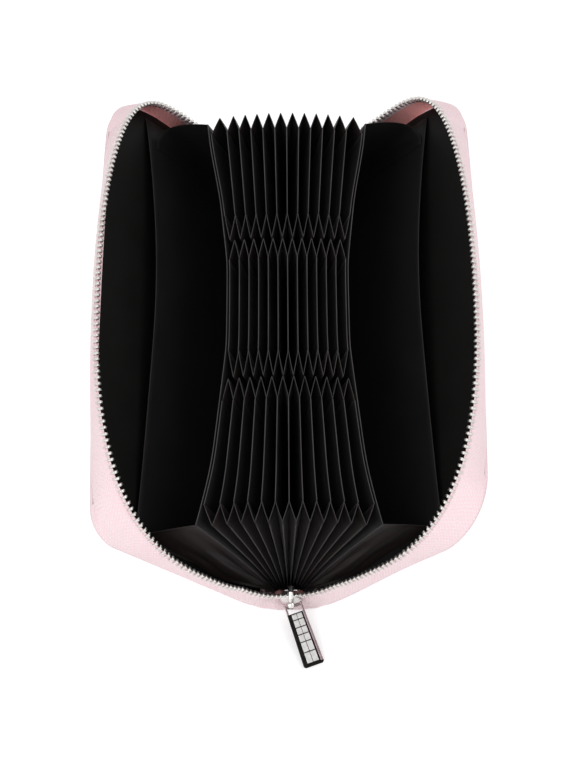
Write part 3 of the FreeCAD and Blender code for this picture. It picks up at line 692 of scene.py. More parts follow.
def pocket_depth(up, across):
    """How far the note pocket stands off the board: up 0 to 1, across from near, -1, to far, 1."""
    gape = SLIP_GAPE * (1 + 0.3 * across) * up ** 2.2
    ripple = 0.35 * np.sin(across * 5.0 + 0.6) * up ** 2
    return SLIP_DEPTH + (gape + ripple) * (1 - across ** 2)


def note_pocket(side_name):
    """The large flat pocket on a cover, gaping at its free edge."""
    side = SIDES[side_name]
    up, y = np.meshgrid(np.linspace(0, 1, 30), np.linspace(-SLIP_HALF, SLIP_HALF, 61), indexing="ij")
    across = y / SLIP_HALF
    rise = np.where(y < 0, SLIP_END_RISE[-1], SLIP_END_RISE[1])
    u = SLIP_FOOT + up * (SLIP_TOP - SLIP_FOOT + rise * across ** 2)
    middle = on_bowed(side, u, pocket_depth(up, across), y)
    sheet = both_faces(middle, SLIP_THICK, inward(side))
    # The pocket's rim gets the fainter painted highlight.
    piece = add_sheet(f"{side_name}_note_pocket", [sheet], [pocket_cloth, faint_rim_highlight], HIGHLIGHT_RIM)
    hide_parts(f"{side_name}_slip_pocket")
    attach(piece, f"{side_name}_cover")
    press_flat(piece, side_name, depth=1.3)
    return piece


linings = {name: cover_lining(name) for name in SIDES}
pockets = {name: note_pocket(name) for name in SIDES}
print("linings and pockets:", [p.name for p in (*linings.values(), *pockets.values())])

# %% [markdown]
# The zip runs from the slider at the near end of the spine, up one short side, over the long side and down
# to the far fold. Unzipped and relaxed it stands well above the cover's edge in the middle, in a smooth arch
# like a superellipse. The line of the teeth is drawn in three stretches: near, top and far. The stretches
# meet at the height of the cover's edge.

# %% The line of the zip
TOOTH_DEPTH = 10.4
SLIDER_Y = 99.4
RUN_FOOT_Y = {-1: 101.6, 1: 99.4}
RUN_WIDE_Y = {(-1, -1): 105.6, (-1, 1): 101.5, (1, -1): 103.2, (1, 1): 103.7}
ARCH_START = {-1: 45.0, 1: 52.0}
ARCH_TOP = {-1: 114.7, 1: 112.9}
ARCH_ACROSS = {-1: 2.7, 1: 1.9}
ARCH_UP = {-1: 2.7, 1: 4.3}
EDGE_LEVEL = 100.3
BAND_DEPTH = 0.1
BAND_INSET = 0.1
SLIDER_ROW_X = 1.35
SLIDER_FOOT_Z = 3.6
SLIDER_MOUTH_Z = 7.5
NEAR_LANDING = 24.0
FAR_FOOT = 4.0


def run_y(side, way, u):
    """How far along y the teeth stand on a short side: way -1 is the near one, 1 the far one."""
    share = ease((u - 6) / (ARCH_START[way] - 12))
    return way * (RUN_FOOT_Y[way] + (RUN_WIDE_Y[side, way] - RUN_FOOT_Y[way]) * share)


def half_arch(side, way, angle):
    """One half of the arch over the long side as (y, u), from its start, angle 0, to its top."""
    y = way * RUN_WIDE_Y[side, way] * np.cos(angle) ** (2 / ARCH_ACROSS[way])
    u = ARCH_START[way] + (ARCH_TOP[side] - ARCH_START[way]) * np.sin(angle) ** (2 / ARCH_UP[way])
    return y, u


def edge_angle(side, way):
    """Where a half of the arch passes the height of the cover's edge."""
    share = (EDGE_LEVEL - ARCH_START[way]) / (ARCH_TOP[side] - ARCH_START[way])
    return math.asin(share ** (ARCH_UP[way] / 2))


def bend_line(a, b, c, d, count=30):
    """A cubic curve with two handles."""
    t = np.linspace(0, 1, count)[:, None]
    return a * (1 - t) ** 3 + 3 * b * t * (1 - t) ** 2 + 3 * c * t ** 2 * (1 - t) + d * t ** 3


def tooth_line(side):
    """The middle of the teeth in three stretches."""
    foot = np.array([[side * SLIDER_ROW_X, -SLIDER_Y, SLIDER_FOOT_Z]])
    mouth = np.array([side * SLIDER_ROW_X, -SLIDER_Y, SLIDER_MOUTH_Z])
    landing = on_cover(side, NEAR_LANDING, TOOTH_DEPTH, float(run_y(side, -1, NEAR_LANDING)))
    curve = bend_line(mouth, mouth + (side * 2.0, -2.6, 4.0), landing - 11.0 * upward(side), landing)
    runs, shoulders, tops = {}, {}, {}
    for way, low in ((-1, NEAR_LANDING), (1, FAR_FOOT)):
        climb = np.linspace(low, ARCH_START[way], 30)
        runs[way] = on_cover(side, climb, TOOTH_DEPTH, run_y(side, way, climb))
        level = edge_angle(side, way)
        y, u = half_arch(side, way, np.linspace(0, level, 200))
        shoulders[way] = on_cover(side, u, TOOTH_DEPTH, y)
        y, u = half_arch(side, way, np.linspace(level, math.pi / 2 - 1e-6, 300))
        tops[way] = on_cover(side, u, TOOTH_DEPTH, y)
    near = np.concatenate([foot, curve, runs[-1][1:], shoulders[-1][1:]])
    top = np.concatenate([tops[-1], tops[1][::-1]])
    far = np.concatenate([runs[1], shoulders[1][1:]])[::-1]
    return {"near": near, "top": top, "far": far}


def edge_line(side):
    """The cover's edge that the zip band is sewn to, in the same three stretches."""
    outline = cover_outline(side, BAND_INSET, 1.6)
    half = len(outline) // 2
    near_y, near_u = outline[:half].T
    far_y, far_u = outline[half:].T
    spine_x = np.linspace(0.4, 11.0, 8)
    spine_y = near_y[0] + 0.7 * np.exp(-((spine_x - FOLD_X) / 5) ** 2)
    spine_end = np.stack([side * spine_x, spine_y, np.full_like(spine_x, 0.7)], 1)
    near_y = near_y + 0.7 * np.exp(-(near_u / 6) ** 2)
    near = on_bowed(side, near_u, BAND_DEPTH, near_y)
    top_y = np.linspace(near_y[-1], far_y[0], 80)
    top = on_bowed(side, COVER_HIGH - BAND_INSET, BAND_DEPTH, top_y)
    far = on_bowed(side, far_u, BAND_DEPTH, far_y)
    return {"near": np.concatenate([spine_end, near]), "top": top, "far": far}


STRETCHES = {"near": 111, "top": 121, "far": 101}
OPEN_ENDS = {"near": (False, True), "top": (True, True), "far": (True, False)}
tooth_lines = {name: tooth_line(side) for name, side in SIDES.items()}
edge_lines = {name: edge_line(side) for name, side in SIDES.items()}
for name in SIDES:
    print(name, "zip stretches, mm:", {k: round(line_length(v)) for k, v in tooth_lines[name].items()})

# %% [markdown]
# Between the cover's edge and the teeth lies a leather band, and out of it comes a strip of the woven tape
# that carries the teeth. Both follow one curved surface: across the band it leaves the cover's edge, swells
# out a little and turns inward to the teeth. The band's inside is the same pink leather, painted a deeper
# rose as shade and warm bounce light, seen at the far end. Beside the slider the band is drawn in, with a
# crease.

# %% Zip bands and tapes
BAND_LEAN = 2.6
BAND_SWELL = 1.0
SLIDER_DRAW = 3.8
CREASE_DEEP = 3.0
CREASE_PLACE = 0.68
CREASE_WIDE = 0.1


def whole_line(lines):
    """The three stretches of a line as one, each evenly divided, without doubled ends."""
    parts = [resample(lines[stretch], count) for stretch, count in STRETCHES.items()]
    return np.concatenate([parts[0]] + [part[1:] for part in parts[1:]])


def stretch_columns(stretch):
    """The columns of the whole line that belong to one stretch, ends included."""
    names = list(STRETCHES)
    start = sum(STRETCHES[name] - 1 for name in names[:names.index(stretch)])
    return slice(start, start + STRETCHES[stretch])


def level_joints(face, side):
    """Puts the columns where stretches meet at the height of the cover's edge."""
    height = (face[..., 0] * side - FOLD_X) * math.sin(LEAN) + (face[..., 2] - FOLD_Z) * math.cos(LEAN)
    columns = np.arange(face.shape[1])
    for joint in (STRETCHES["near"] - 1, STRETCHES["near"] + STRETCHES["top"] - 2):
        lift = np.outer(EDGE_LEVEL - height[:, joint], np.exp(-((columns - joint) / 6) ** 2))
        face = face + lift[..., None] * upward(side)
    return face


def band_faces(side_name, start, end, rows, thick, sunk):
    """Both faces of a strip on the surface from the cover's edge, 0, to the teeth, 1, along the whole zip."""
    side = SIDES[side_name]
    low = whole_line(edge_lines[side_name])
    high = whole_line(tooth_lines[side_name])
    ahead = unit(np.gradient(high, axis=0))
    outside = unit(np.cross(ahead, inward(side)) * side)
    swell = BAND_SWELL - SLIDER_DRAW * (1 - ease(np.arange(len(low))[:, None] / 18))
    handle = low + 0.6 * (high - low) - BAND_LEAN * inward(side) + swell * outside
    share = np.linspace(start, end, rows)[:, None, None]
    surface = low * (1 - share) ** 2 + 2 * handle * share * (1 - share) + high * share ** 2
    from_slider = np.arange(len(low))[None, :, None] / 13
    crease = np.exp(-from_slider ** 2 - ((share - CREASE_PLACE) / CREASE_WIDE) ** 2)
    surface = surface - CREASE_DEEP * crease * outside
    faces = both_faces(surface - sunk * outside, thick, outside[None, :, :])
    return [level_joints(face, side) for face in faces]


def hold_stretch(piece, side_name, stretch):
    """Carries a piece of one stretch of the zip: the near one stays where it is, the others ride on the
    cover.
    """
    side = SIDES[side_name]
    if stretch == "near":
        start = tuple(on_cover(side, -1.0, 9.0, 0) * MM)
        end = tuple(on_cover(side, 10.0, 9.0, 0) * MM)
        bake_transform(piece)
        return
    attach(piece, f"{side_name}_cover")
    if stretch == "top":
        tuple(on_cover(side, EDGE_LEVEL, 0, 0) * MM)
        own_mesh(piece)


STRIPS = {"band": dict(start=0.0, end=0.9, rows=14, thick=0.9, sunk=0.0),
          "tape": dict(start=0.8, end=0.965, rows=5, thick=0.5, sunk=0.25)}
# The band's inner face takes the rose leather, which is painted shade inside the band.
STRIP_MATERIALS = {"band": [pink_leather, shade_rose_leather], "tape": [pink_tape]}
STRIP_MARKS = {"band": (0, 1, 0), "tape": ONE_FINISH}


def zip_strip(kind, side_name, stretch):
    """The leather band, or the woven tape that carries the teeth, along one stretch."""
    columns = stretch_columns(stretch)
    sheet = [face[:, columns] for face in band_faces(side_name, **STRIPS[kind])]
    piece = add_sheet(f"{side_name}_zip_{kind}_{stretch}", [sheet], STRIP_MATERIALS[kind],
                      STRIP_MARKS[kind], open_ends=OPEN_ENDS[stretch])
    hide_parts(f"{side_name}_zip_{kind}")
    hold_stretch(piece, side_name, stretch)
    return piece


strips = [zip_strip(kind, name, stretch) for kind in STRIPS for name in SIDES for stretch in STRETCHES]
print("bands and tapes:", len(strips))

# %% [markdown]
# A metal tooth is a small clamp squeezed over the tape's edge, with a nose that catches between the teeth
# of the other side. One tooth is modelled as two bevelled blocks and repeated along the line by its length,
# with the rows of the two sides half a pitch apart.

# %% Zip teeth
TOOTH_PITCH = 2.5
FINE_STEPS = 1499


def bevelled(work, bevel, segments, profile):
    """Points and faces of a bmesh shape with its edges rounded off."""
    bmesh.ops.bevel(work, geom=work.edges[:], offset=bevel, segments=segments, profile=profile,
                    affect="EDGES")
    work.verts.index_update()
    points = np.array([vertex.co[:] for vertex in work.verts])
    faces = [[vertex.index for vertex in face.verts] for face in work.faces]
    work.free()
    return points, faces


def rounded_block(low, high, bevel):
    """Points and faces of a block with rounded edges."""
    work = bmesh.new()
    bmesh.ops.create_cube(work, size=1.0)
    low = np.array(low, float)
    high = np.array(high, float)
    for vertex in work.verts:
        vertex.co = Vector((np.array(vertex.co) + 0.5) * (high - low) + low)
    return bevelled(work, bevel, 2, 0.5)


def zip_tooth():
    """A tooth: x points to the other side, y along the zip, z through the tape."""
    clamp = rounded_block((-1.5, -0.42, -1.0), (0.4, 0.42, 1.0), 0.2)
    nose = rounded_block((-0.2, -0.62, -0.85), (1.25, 0.62, 0.85), 0.36)
    return join_shapes([clamp, nose])


def zip_teeth(side_name):
    """The row of teeth of one side, in its three stretches."""
    side = SIDES[side_name]
    shape = zip_tooth()
    offset = TOOTH_PITCH * (0.5 if side_name == "front" else 1.0)
    made = 0
    for stretch in STRETCHES:
        line = tooth_lines[side_name][stretch]
        length = line_length(line)
        count = int((length - offset) / TOOTH_PITCH) + 1
        places = offset + np.arange(count) * TOOTH_PITCH
        offset = places[-1] + TOOTH_PITCH - length
        fine = resample(line, FINE_STEPS + 1)
        index = np.clip(np.round(places / length * FINE_STEPS).astype(int), 0, FINE_STEPS)
        ahead = unit(np.gradient(fine, axis=0))[index]
        across = np.repeat(inward(side)[None, :], count, axis=0)
        across = unit(across - ahead * np.sum(across * ahead, axis=1, keepdims=True))
        through = np.cross(across, ahead)
        points, faces = place_copies(shape, fine[index], across, ahead, through)
        piece = add_mesh(f"{side_name}_zip_teeth_{stretch}", points, faces, [nickel])
        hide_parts(f"{side_name}_zip_teeth")
        hold_stretch(piece, side_name, stretch)
        made += count
    return made


for name in SIDES:
    print(name, "zip teeth:", zip_teeth(name))

# %% [markdown]
# Thirteen card dividers stand in a fan on the spine. Each has three panels in a row along the wallet. Their
# front edges spread more at both ends than in the middle, as the photograph shows. A panel is a thin sheet,
# slightly bowed, whose front edge is painted lighter as a highlight and draws one line of the accordion.
# Outside the outermost two stands a wall along the whole row.

# %% Dividers
DIVIDERS = 13
MIDDLE_DIVIDER = 7
ROOT_Z = 3.5
ROOT_PITCH = 1.0
DIVIDER_DEEP = 77.0
PANEL_ENDS = ((-88.0, -45.1), (-23.2, 18.4), (39.8, 81.0))
PANEL_THICK = 0.36
PANEL_SAG = 1.2
CUT_RIM = 0.35
WALL_GAP = 1.05
WALL_ENDS = (-95.9, 86.2)
FAN_MIDDLE = 23.3
FAN_SLOPE = 0.107
FAN_CENTRE = -2
EVEN_HALF = 19
EVEN_SOFT = 4


def fan_spread(y):
    """How far the outermost divider's front edge stands from the middle, more towards both ends."""
    past = np.abs(y - FAN_CENTRE) - EVEN_HALF
    past = (past + np.sqrt(past ** 2 + EVEN_SOFT ** 2)) / 2
    return FAN_MIDDLE + FAN_SLOPE * past + (np.clip(-y - 70, 0, 30) / 17.5) ** 2


def end_flare(y):
    """How much further the gussets pull out the ends of the outermost dividers."""
    return np.where(y > 0, 1.6 * ease((y - 42) / 38), 0.9 * ease((-y - 62) / 28))


def on_divider(number, share, y, shift=0.0):
    """A place on a divider: share 0 at its root and 1 at its front edge."""
    share, y = np.broadcast_arrays(np.asarray(share, float), np.asarray(y, float))
    rank = (number - MIDDLE_DIVIDER) / (MIDDLE_DIVIDER - 1)
    root_x = (number - MIDDLE_DIVIDER) * ROOT_PITCH
    front_x = rank * fan_spread(y) + (abs(rank) == 1) * rank * end_flare(y)
    front_z = ROOT_Z + np.sqrt(DIVIDER_DEEP ** 2 - (front_x - root_x) ** 2)
    sag = -rank * PANEL_SAG * np.sin(math.pi * share)
    x = root_x + (front_x - root_x) * share + sag + shift * share
    z = ROOT_Z + (front_z - ROOT_Z) * share
    return np.stack([x, y, z], axis=-1)


def leaf_body(number):
    """The CAD body that carries a divider."""
    return "spine" if number == MIDDLE_DIVIDER else f"leaf_{number:02d}"


def wall_shift(number):
    """How far the whole-length wall stands outside the card panels of an outermost divider."""
    return -WALL_GAP if number == 1 else WALL_GAP


def divider_sheet(number, low_y, high_y, shift, columns):
    """Both faces of one panel of a divider."""
    ends = np.linspace(low_y, high_y, columns)
    share, y = np.meshgrid(np.linspace(0.004, 1, 14), ends, indexing="ij")
    return both_faces(on_divider(number, share, y, shift), PANEL_THICK, np.array([1.0, 0, 0]))


def divider_piece(kind, number, sheets):
    """A piece of a divider, made of one or more panels with edges painted lighter as a highlight."""
    name = f"divider_{kind}_{number:02d}"
    piece = add_sheet(name, sheets, [divider_cloth, rim_highlight_cloth], HIGHLIGHT_RIM, CUT_RIM)
    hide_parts(f"divider_{number:02d}")
    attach(piece, leaf_body(number))
    return piece


def divider(number):
    """A divider's three panels in a row."""
    sheets = [divider_sheet(number, low_y, high_y, 0.0, 15) for low_y, high_y in PANEL_ENDS]
    return divider_piece("panels", number, sheets)


def divider_wall(number):
    """The wall along the whole row outside an outermost divider."""
    sheet = divider_sheet(number, *WALL_ENDS, wall_shift(number), 61)
    piece = divider_piece("wall", number, [sheet])
    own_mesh(piece)
    return piece


panels = [divider(number) for number in range(1, DIVIDERS + 1)]
walls = [divider_wall(number) for number in (1, DIVIDERS)]
print("dividers:", len(panels), "with walls:", len(walls))

# %% [markdown]
# At both ends of every pocket the cloth is folded into a V that points away from the pocket, so that the
# accordion can open and shut. Between two dividers there are six folds. They are made in three pairs, because
# the dividers spread more at the ends.

# %% Pocket gussets
FOLD_PAIRS = {"ends": ((0, -1), (2, 1)), "gaps": ((0, 1), (2, -1)), "middle": ((1, -1), (1, 1))}
FOLD_DEEP = {(0, -1): 8.3, (0, 1): 9.9, (1, -1): 11.3, (1, 1): 9.4, (2, -1): 11.2, (2, 1): 8.3}
FOLD_THICK = 0.22
FOLD_GAP = 0.25


def pocket_fold(number, end_y, way, longest):
    """One V fold between a divider and the next, at one end of a panel."""
    share = np.linspace(0.02, 0.995, 14)
    first = on_divider(number, share, end_y)
    second = on_divider(number + 1, share, end_y)
    deep = longest * (0.86 + 0.14 * ease(share / 0.9))
    across = np.concatenate([np.linspace(0, 0.46, 6), [0.5], np.linspace(0.54, 1, 6)])
    rows = []
    for k in range(len(share)):
        line = first[k] + (second[k] - first[k]) * across[:, None]
        point = 1 - np.abs(across - 0.5) * 2
        line[:, 1] += way * (FOLD_GAP + deep[k] * point ** 0.92)
        line[:, 2] -= 0.6 * point * share[k]
        rows.append(line)
    return np.array(rows)


def pocket_gussets(number, pair):
    """A pair of folds between two neighbouring dividers."""
    sheets, middles = [], []
    for column, way in FOLD_PAIRS[pair]:
        end_y = PANEL_ENDS[column][(way + 1) // 2]
        surface = pocket_fold(number, end_y, way, FOLD_DEEP[column, way])
        sheets.append(both_faces(surface, FOLD_THICK, np.array([0.0, way, 0.0])))
        middles.append(surface)
    name = f"pocket_folds_{number:02d}_{pair}"
    # The folds' cut edges get the painted highlight.
    piece = add_sheet(name, sheets, [gusset_satin, rim_highlight_cloth], HIGHLIGHT_RIM, CUT_RIM)
    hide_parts(f"pocket_gussets_{number:02d}")
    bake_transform(piece)
    return piece


folds = [pocket_gussets(number, pair) for number in range(1, DIVIDERS) for pair in FOLD_PAIRS]
print("pocket gusset pieces:", len(folds))

# %% [markdown]
# Between the outermost dividers and the covers hang larger satin gussets that close the two note
# compartments. The near ones spread from the slider up to the divider's corner like a fan with soft creases.
# The far ones turn in a round corner onto the note pocket, and their top edge sags a little. All ride on the
# cover.

# %% Side gussets
GUSSET_FOOT = {"near": 3.0, "far": 9.0}
GUSSET_TOP = {(-1, -1): 72.0, (1, -1): 72.0, (-1, 1): 75.0, (1, 1): 78.0}
GUSSET_SAG = {"near": 1.0, "far": 0.4}
GUSSET_BELLY = {"near": 0.6, "far": 0.0}
GUSSET_CREASE = {"near": 1.0, "far": 0.3}
GUSSET_THICK = 0.35
FAR_WALL_Y = 98.6
FAR_TURN = 15.0


def zip_y(side, way, u):
    """Where the line of the teeth stands along y at a height."""
    up = np.clip((u - ARCH_START[way]) / (ARCH_TOP[side] - ARCH_START[way]), 0, 1)
    over = way * RUN_WIDE_Y[side, way] * (1 - up ** ARCH_UP[way]) ** (1 / ARCH_ACROSS[way])
    return np.where(up > 0, over, run_y(side, way, u))


def side_gusset(side_name, end_name):
    """A satin wall between the outermost divider's end and the zip on one cover."""
    side = SIDES[side_name]
    way = -1 if end_name == "near" else 1
    number = 1 if side < 0 else DIVIDERS
    share, across = np.meshgrid(np.linspace(0, 1, 34), np.linspace(0, 1, 37), indexing="ij")
    wall_y = WALL_ENDS[(way + 1) // 2]
    at_divider = on_divider(number, 0.02 + 0.975 * share, wall_y, wall_shift(number))
    climb = GUSSET_FOOT[end_name] + (GUSSET_TOP[side, way] - GUSSET_FOOT[end_name]) * share
    if way < 0:
        depth = 1.9 + 7.9 * (1 - ease(share * 2.5))
        inset = 2.2 + 7.3 * ease(share * 1.4)
        at_cover = on_cover(side, climb, depth - bow(climb, -96), zip_y(side, -1, climb) + inset)
        corner = (at_divider + at_cover) / 2
    else:
        corner = on_cover(side, climb, 2.0 + 6.0 * (1 - ease(share * 2)), FAR_WALL_Y)
        end_y = FAR_WALL_Y - FAR_TURN
        depth = pocket_depth((climb - SLIP_FOOT) / (SLIP_TOP - SLIP_FOOT), end_y / SLIP_HALF) + 0.3
        at_cover = on_bowed(side, climb, depth, end_y)
    t = across[..., None]
    surface = at_divider * (1 - t) ** 2 + 2 * corner * t * (1 - t) + at_cover * t ** 2
    hang = np.sin(math.pi * across)
    surface[..., 2] -= GUSSET_SAG[end_name] * share ** 2 * hang
    surface[..., 1] -= way * GUSSET_BELLY[end_name] * (share + 2.5 * np.sin(math.pi * share)) * hang
    pull = GUSSET_CREASE[end_name] * hang * np.sin(math.pi * share) ** 0.7
    surface[..., 1] += way * 1.3 * np.sin(across * 11.0 + share * 3.0) * pull
    surface[..., 2] += 0.8 * np.sin(across * 17.0 - share * 5.0 + 1.0) * pull
    sheet = both_faces(surface, GUSSET_THICK, np.array([0.0, way, 0.0]))
    name = f"{side_name}_{end_name}_satin_gusset"
    # The near gussets' rims get the fainter painted highlight; the far ones have none.
    cloth, marks = (gusset_satin, HIGHLIGHT_RIM) if way < 0 else (pocket_cloth, ONE_FINISH)
    piece = add_sheet(name, [sheet], [cloth, faint_rim_highlight], marks)
    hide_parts(f"{side_name}_{end_name}_side_gusset")
    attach(piece, f"{side_name}_cover")
    press_flat(piece, side_name, depth=1.8)
    return piece


side_gussets = {(name, end): side_gusset(name, end) for name in SIDES for end in ("near", "far")}
print("side gussets:", len(side_gussets))

# %% [markdown]
# The slider is two shield-shaped plates joined by a round crown over their top, with an arched loop on its
# face. The plates are cut as outlines in bmesh, given depth and bevelled. The crown and the loop are round
# bars along a line.

# %% Zip slider
def plate(outline, low, high, bevel, segments=2):
    """A flat outline in x and z with depth in y and bevelled edges, as points and faces."""
    work = bmesh.new()
    near, far = ([work.verts.new((x, y, z)) for x, z in outline] for y in (low, high))
    work.faces.new(near)
    work.faces.new(far)
    for k in range(len(outline)):
        work.faces.new([near[k - 1], near[k], far[k], far[k - 1]])
    bmesh.ops.recalc_face_normals(work, faces=work.faces)
    return bevelled(work, bevel, segments, 0.6)


def tube(line, radius, sides=14):
    """A round bar along a line of points, closed at both ends."""
    line = np.asarray(line, float)
    ahead = unit(np.gradient(line, axis=0))
    guide = np.array([0.0, 0.0, 1.0]) if abs(ahead[0][2]) < 0.9 else np.array([1.0, 0.0, 0.0])
    points = []
    for place, direction in zip(line, ahead):
        first = unit(np.cross(direction, guide))
        second = np.cross(direction, first)
        for k in range(sides):
            angle = 2 * math.pi * k / sides
            points.append(place + radius * (math.cos(angle) * first + math.sin(angle) * second))
    return np.array(points), ring_faces(len(line), sides)


ZIP_END_Y = -SLIDER_Y
SLIDER_SHIFT = np.array([0.7, 0.0, 0.0])
SHIELD = [(-3.1, 2.2), (3.1, 2.2), (4.3, 8.6), (4.4, 11.4), (2.6, 12.6), (1.2, 11.4), (-1.2, 11.4),
          (-2.6, 12.6), (-4.4, 11.4), (-4.3, 8.6)]
BACK_SHIELD = [(-3.1, 2.2), (3.1, 2.2), (3.6, 6.0), (2.6, 8.0), (-2.6, 8.0), (-3.6, 6.0)]
CROWN = [(2.3, 7.6), (2.2, 10.6), (1.3, 12.4), (-0.6, 12.3), (-2.4, 11.2), (-3.2, 9.4)]
CROWN_RADIUS = 1.15
LOOP = [(2.4, 5.6), (4.9, 5.6), (5.8, 6.3), (6.0, 7.4), (5.7, 8.5), (4.7, 9.2), (2.4, 9.0)]
LOOP_RADIUS = 0.5
LOOP_WIDEN = 2.6


def slider_piece(name, shape, solid, smooth):
    """A chrome piece that rides on the slider."""
    points, faces = shape
    piece = add_mesh(name, points + SLIDER_SHIFT, faces, [chrome], smooth=smooth)
    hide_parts(solid)
    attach(piece, "slider")
    return piece


def slider_body():
    """Both plates, the crown over them and the lips along their sides."""
    shapes = [plate(SHIELD, ZIP_END_Y - 2.4, ZIP_END_Y - 1.4, 0.3),
              plate(BACK_SHIELD, ZIP_END_Y + 1.6, ZIP_END_Y + 2.5, 0.3)]
    shapes.append(tube([(0.0, y + ZIP_END_Y, z) for y, z in CROWN], CROWN_RADIUS))
    for way in (-1, 1):
        lip = [(way * 2.6, 2.4), (way * 3.1, 2.4), (way * 3.9, 7.8), (way * 3.4, 7.8)]
        shapes.append(plate(lip, ZIP_END_Y - 1.7, ZIP_END_Y - 1.0, 0.12, 1))
        shapes.append(plate(lip, ZIP_END_Y + 1.0, ZIP_END_Y + 1.7, 0.12, 1))
    return slider_piece("zip_slider", join_shapes(shapes), "slider_body", smooth=False)


def slider_loop():
    """The arched loop on the slider's face that holds the pull."""
    line = np.array([(0.0, ZIP_END_Y - out, z) for out, z in LOOP])
    steps = np.linspace(0, len(line) - 1, 41)
    smooth_line = np.stack([np.interp(steps, np.arange(len(line)), line[:, k]) for k in range(3)], 1)
    for _ in range(8):
        smooth_line[1:-1] = (smooth_line[:-2] + 2 * smooth_line[1:-1] + smooth_line[2:]) / 4
    points, faces = tube(smooth_line, LOOP_RADIUS)
    points[:, 0] *= LOOP_WIDEN
    return slider_piece("slider_loop", (points, faces), "slider_bridge", smooth=True)


print("slider:", slider_body().name, slider_loop().name)

# %% [markdown]
# The pull hangs from the loop on a round bar and lies on the table, turned a little to the right. Its frame
# has bevelled edges and comes in two halves with two finishes, because the photograph shows one side dark and
# the other pale: the pale half is the same dark chrome with a painted reflection. Twelve plain tiles lie in a
# shallow tray.

# %% Pull
PULL_PIVOT = np.array([1.7, ZIP_END_Y - 4.9, 7.8])
PULL_DROOP = math.asin(7.3 / 27.4)
PULL_YAW = math.radians(20)
PULL_LONG = 25.6
PULL_HALF = 4.4
PULL_RAIL = 1.7
PULL_TAPER = 0.84
FRAME_HALF_THICK = 0.65
FRAME_BEVEL = 0.25
ARM_WIDE = 0.9
BAR_RADIUS = 0.6
TILE_GAP = 0.12
TRAY_START = 3.5
TRAY_TOP = TRAY_START - 0.5


def on_pull(points):
    """Places the pull: x across it, y along it from the pivot, z out of its face."""
    along = np.array([math.sin(PULL_YAW) * math.cos(PULL_DROOP),
                      -math.cos(PULL_YAW) * math.cos(PULL_DROOP), -math.sin(PULL_DROOP)])
    across = np.array([math.cos(PULL_YAW), math.sin(PULL_YAW), 0.0])
    face = np.cross(along, across)
    face *= np.sign(face[2])
    points = np.asarray(points, float)
    taper = PULL_TAPER + (1 - PULL_TAPER) * points[:, 1:2] / PULL_LONG
    return PULL_PIVOT + points[:, 0:1] * taper * across + points[:, 1:2] * along + points[:, 2:3] * face


def flat_on_pull(outline):
    """A bevelled flat bar of the frame from its outline across and along the pull."""
    points, faces = plate(outline, -FRAME_HALF_THICK, FRAME_HALF_THICK, FRAME_BEVEL)
    return points[:, [0, 2, 1]], faces


def pull_piece(name, shapes, material, solid):
    """Joins shapes into one piece that rides on the pull."""
    points, faces = join_shapes(shapes)
    piece = add_mesh(name, on_pull(points), faces, [material], smooth=False)
    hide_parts(solid)
    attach(piece, "pull")
    return piece


def pull_frame():
    """The dark half of the frame: one rail, the foot with clipped corners and the plate under the tiles."""
    rail, clip, foot = PULL_HALF - PULL_RAIL, 0.7, PULL_LONG - 1.3
    outline = [(-PULL_HALF, TRAY_TOP), (-rail, TRAY_TOP), (-rail, foot), (PULL_HALF, foot),
               (PULL_HALF, PULL_LONG - clip), (PULL_HALF - clip, PULL_LONG),
               (-PULL_HALF + clip, PULL_LONG), (-PULL_HALF, PULL_LONG - clip)]
    floor = rounded_block((-rail - 0.3, TRAY_TOP, -0.6), (PULL_HALF - 0.5, PULL_LONG - 1.0, 0.25), 0.1)
    return pull_piece("pull_tab_frame", [flat_on_pull(outline), floor], dark_chrome, "pull_frame")


def pull_arms():
    """The half of the frame painted lighter as a reflection: the other rail, the two slim arms and the round
    bar between them.
    """
    slim, arm_end = PULL_HALF - ARM_WIDE, TRAY_TOP + 0.3
    bar = [(x, 0.0, 0.0) for x in np.linspace(-PULL_HALF + 0.5, PULL_HALF - 0.5, 9)]
    shapes = [tube(bar, BAR_RADIUS)]
    flat_bars = ((-PULL_HALF, -slim, -0.9, arm_end), (slim, PULL_HALF, -0.9, arm_end),
                 (PULL_HALF - PULL_RAIL + 0.5, PULL_HALF, TRAY_TOP, PULL_LONG - 1.0))
    for low_x, high_x, low, high in flat_bars:
        shapes.append(flat_on_pull([(low_x, low), (high_x, low), (high_x, high), (low_x, high)]))
    return pull_piece("pull_tab_arms", shapes, reflection_painted_chrome, "pull_frame")


TILE_SHARES = (0.75, 0.95, 0.9, 0.95, 1.3, 1.4)


def pull_tiles():
    """Two rows of six pale tiles in the tray, the last ones longer."""
    shapes = []
    start, end, half = TRAY_START - 0.2, PULL_LONG - 1.45, PULL_HALF - PULL_RAIL - 0.1
    edges = start + (end - start) * np.cumsum([0, *TILE_SHARES]) / sum(TILE_SHARES)
    for low_y, high_y in zip(edges[:-1] + TILE_GAP, edges[1:] - TILE_GAP):
        for low_x in (-half + 0.1, 0.1):
            shapes.append(rounded_block((low_x, low_y, 0.2), (low_x + half - 0.2, high_y, 0.72), 0.14))
    return pull_piece("pull_tab_tiles", shapes, pale_tile, "pull_tiles")


print("pull:", pull_frame().name, pull_arms().name, pull_tiles().name)

# %% [markdown]
# A few solids are right as they are: the spine's lining, the binding strip and the zip stops. They only get
# finishes of their own, for which a flat map isn't needed because they are small and mostly hidden.

# %% Finishes on the solids that stay
def plain_cloth(name, dark, light):
    """Black cloth for solids with no flat map."""
    material, tree, shader = new_finish(name, 0.6, Specular_IOR_Level=0.15)
    grain = noise(tree, room_place(tree), 1200.0)
    tint(tree, shader, grain, dark, light)
    relief(tree, shader, grain, 0.00004, 0.5)
    return material


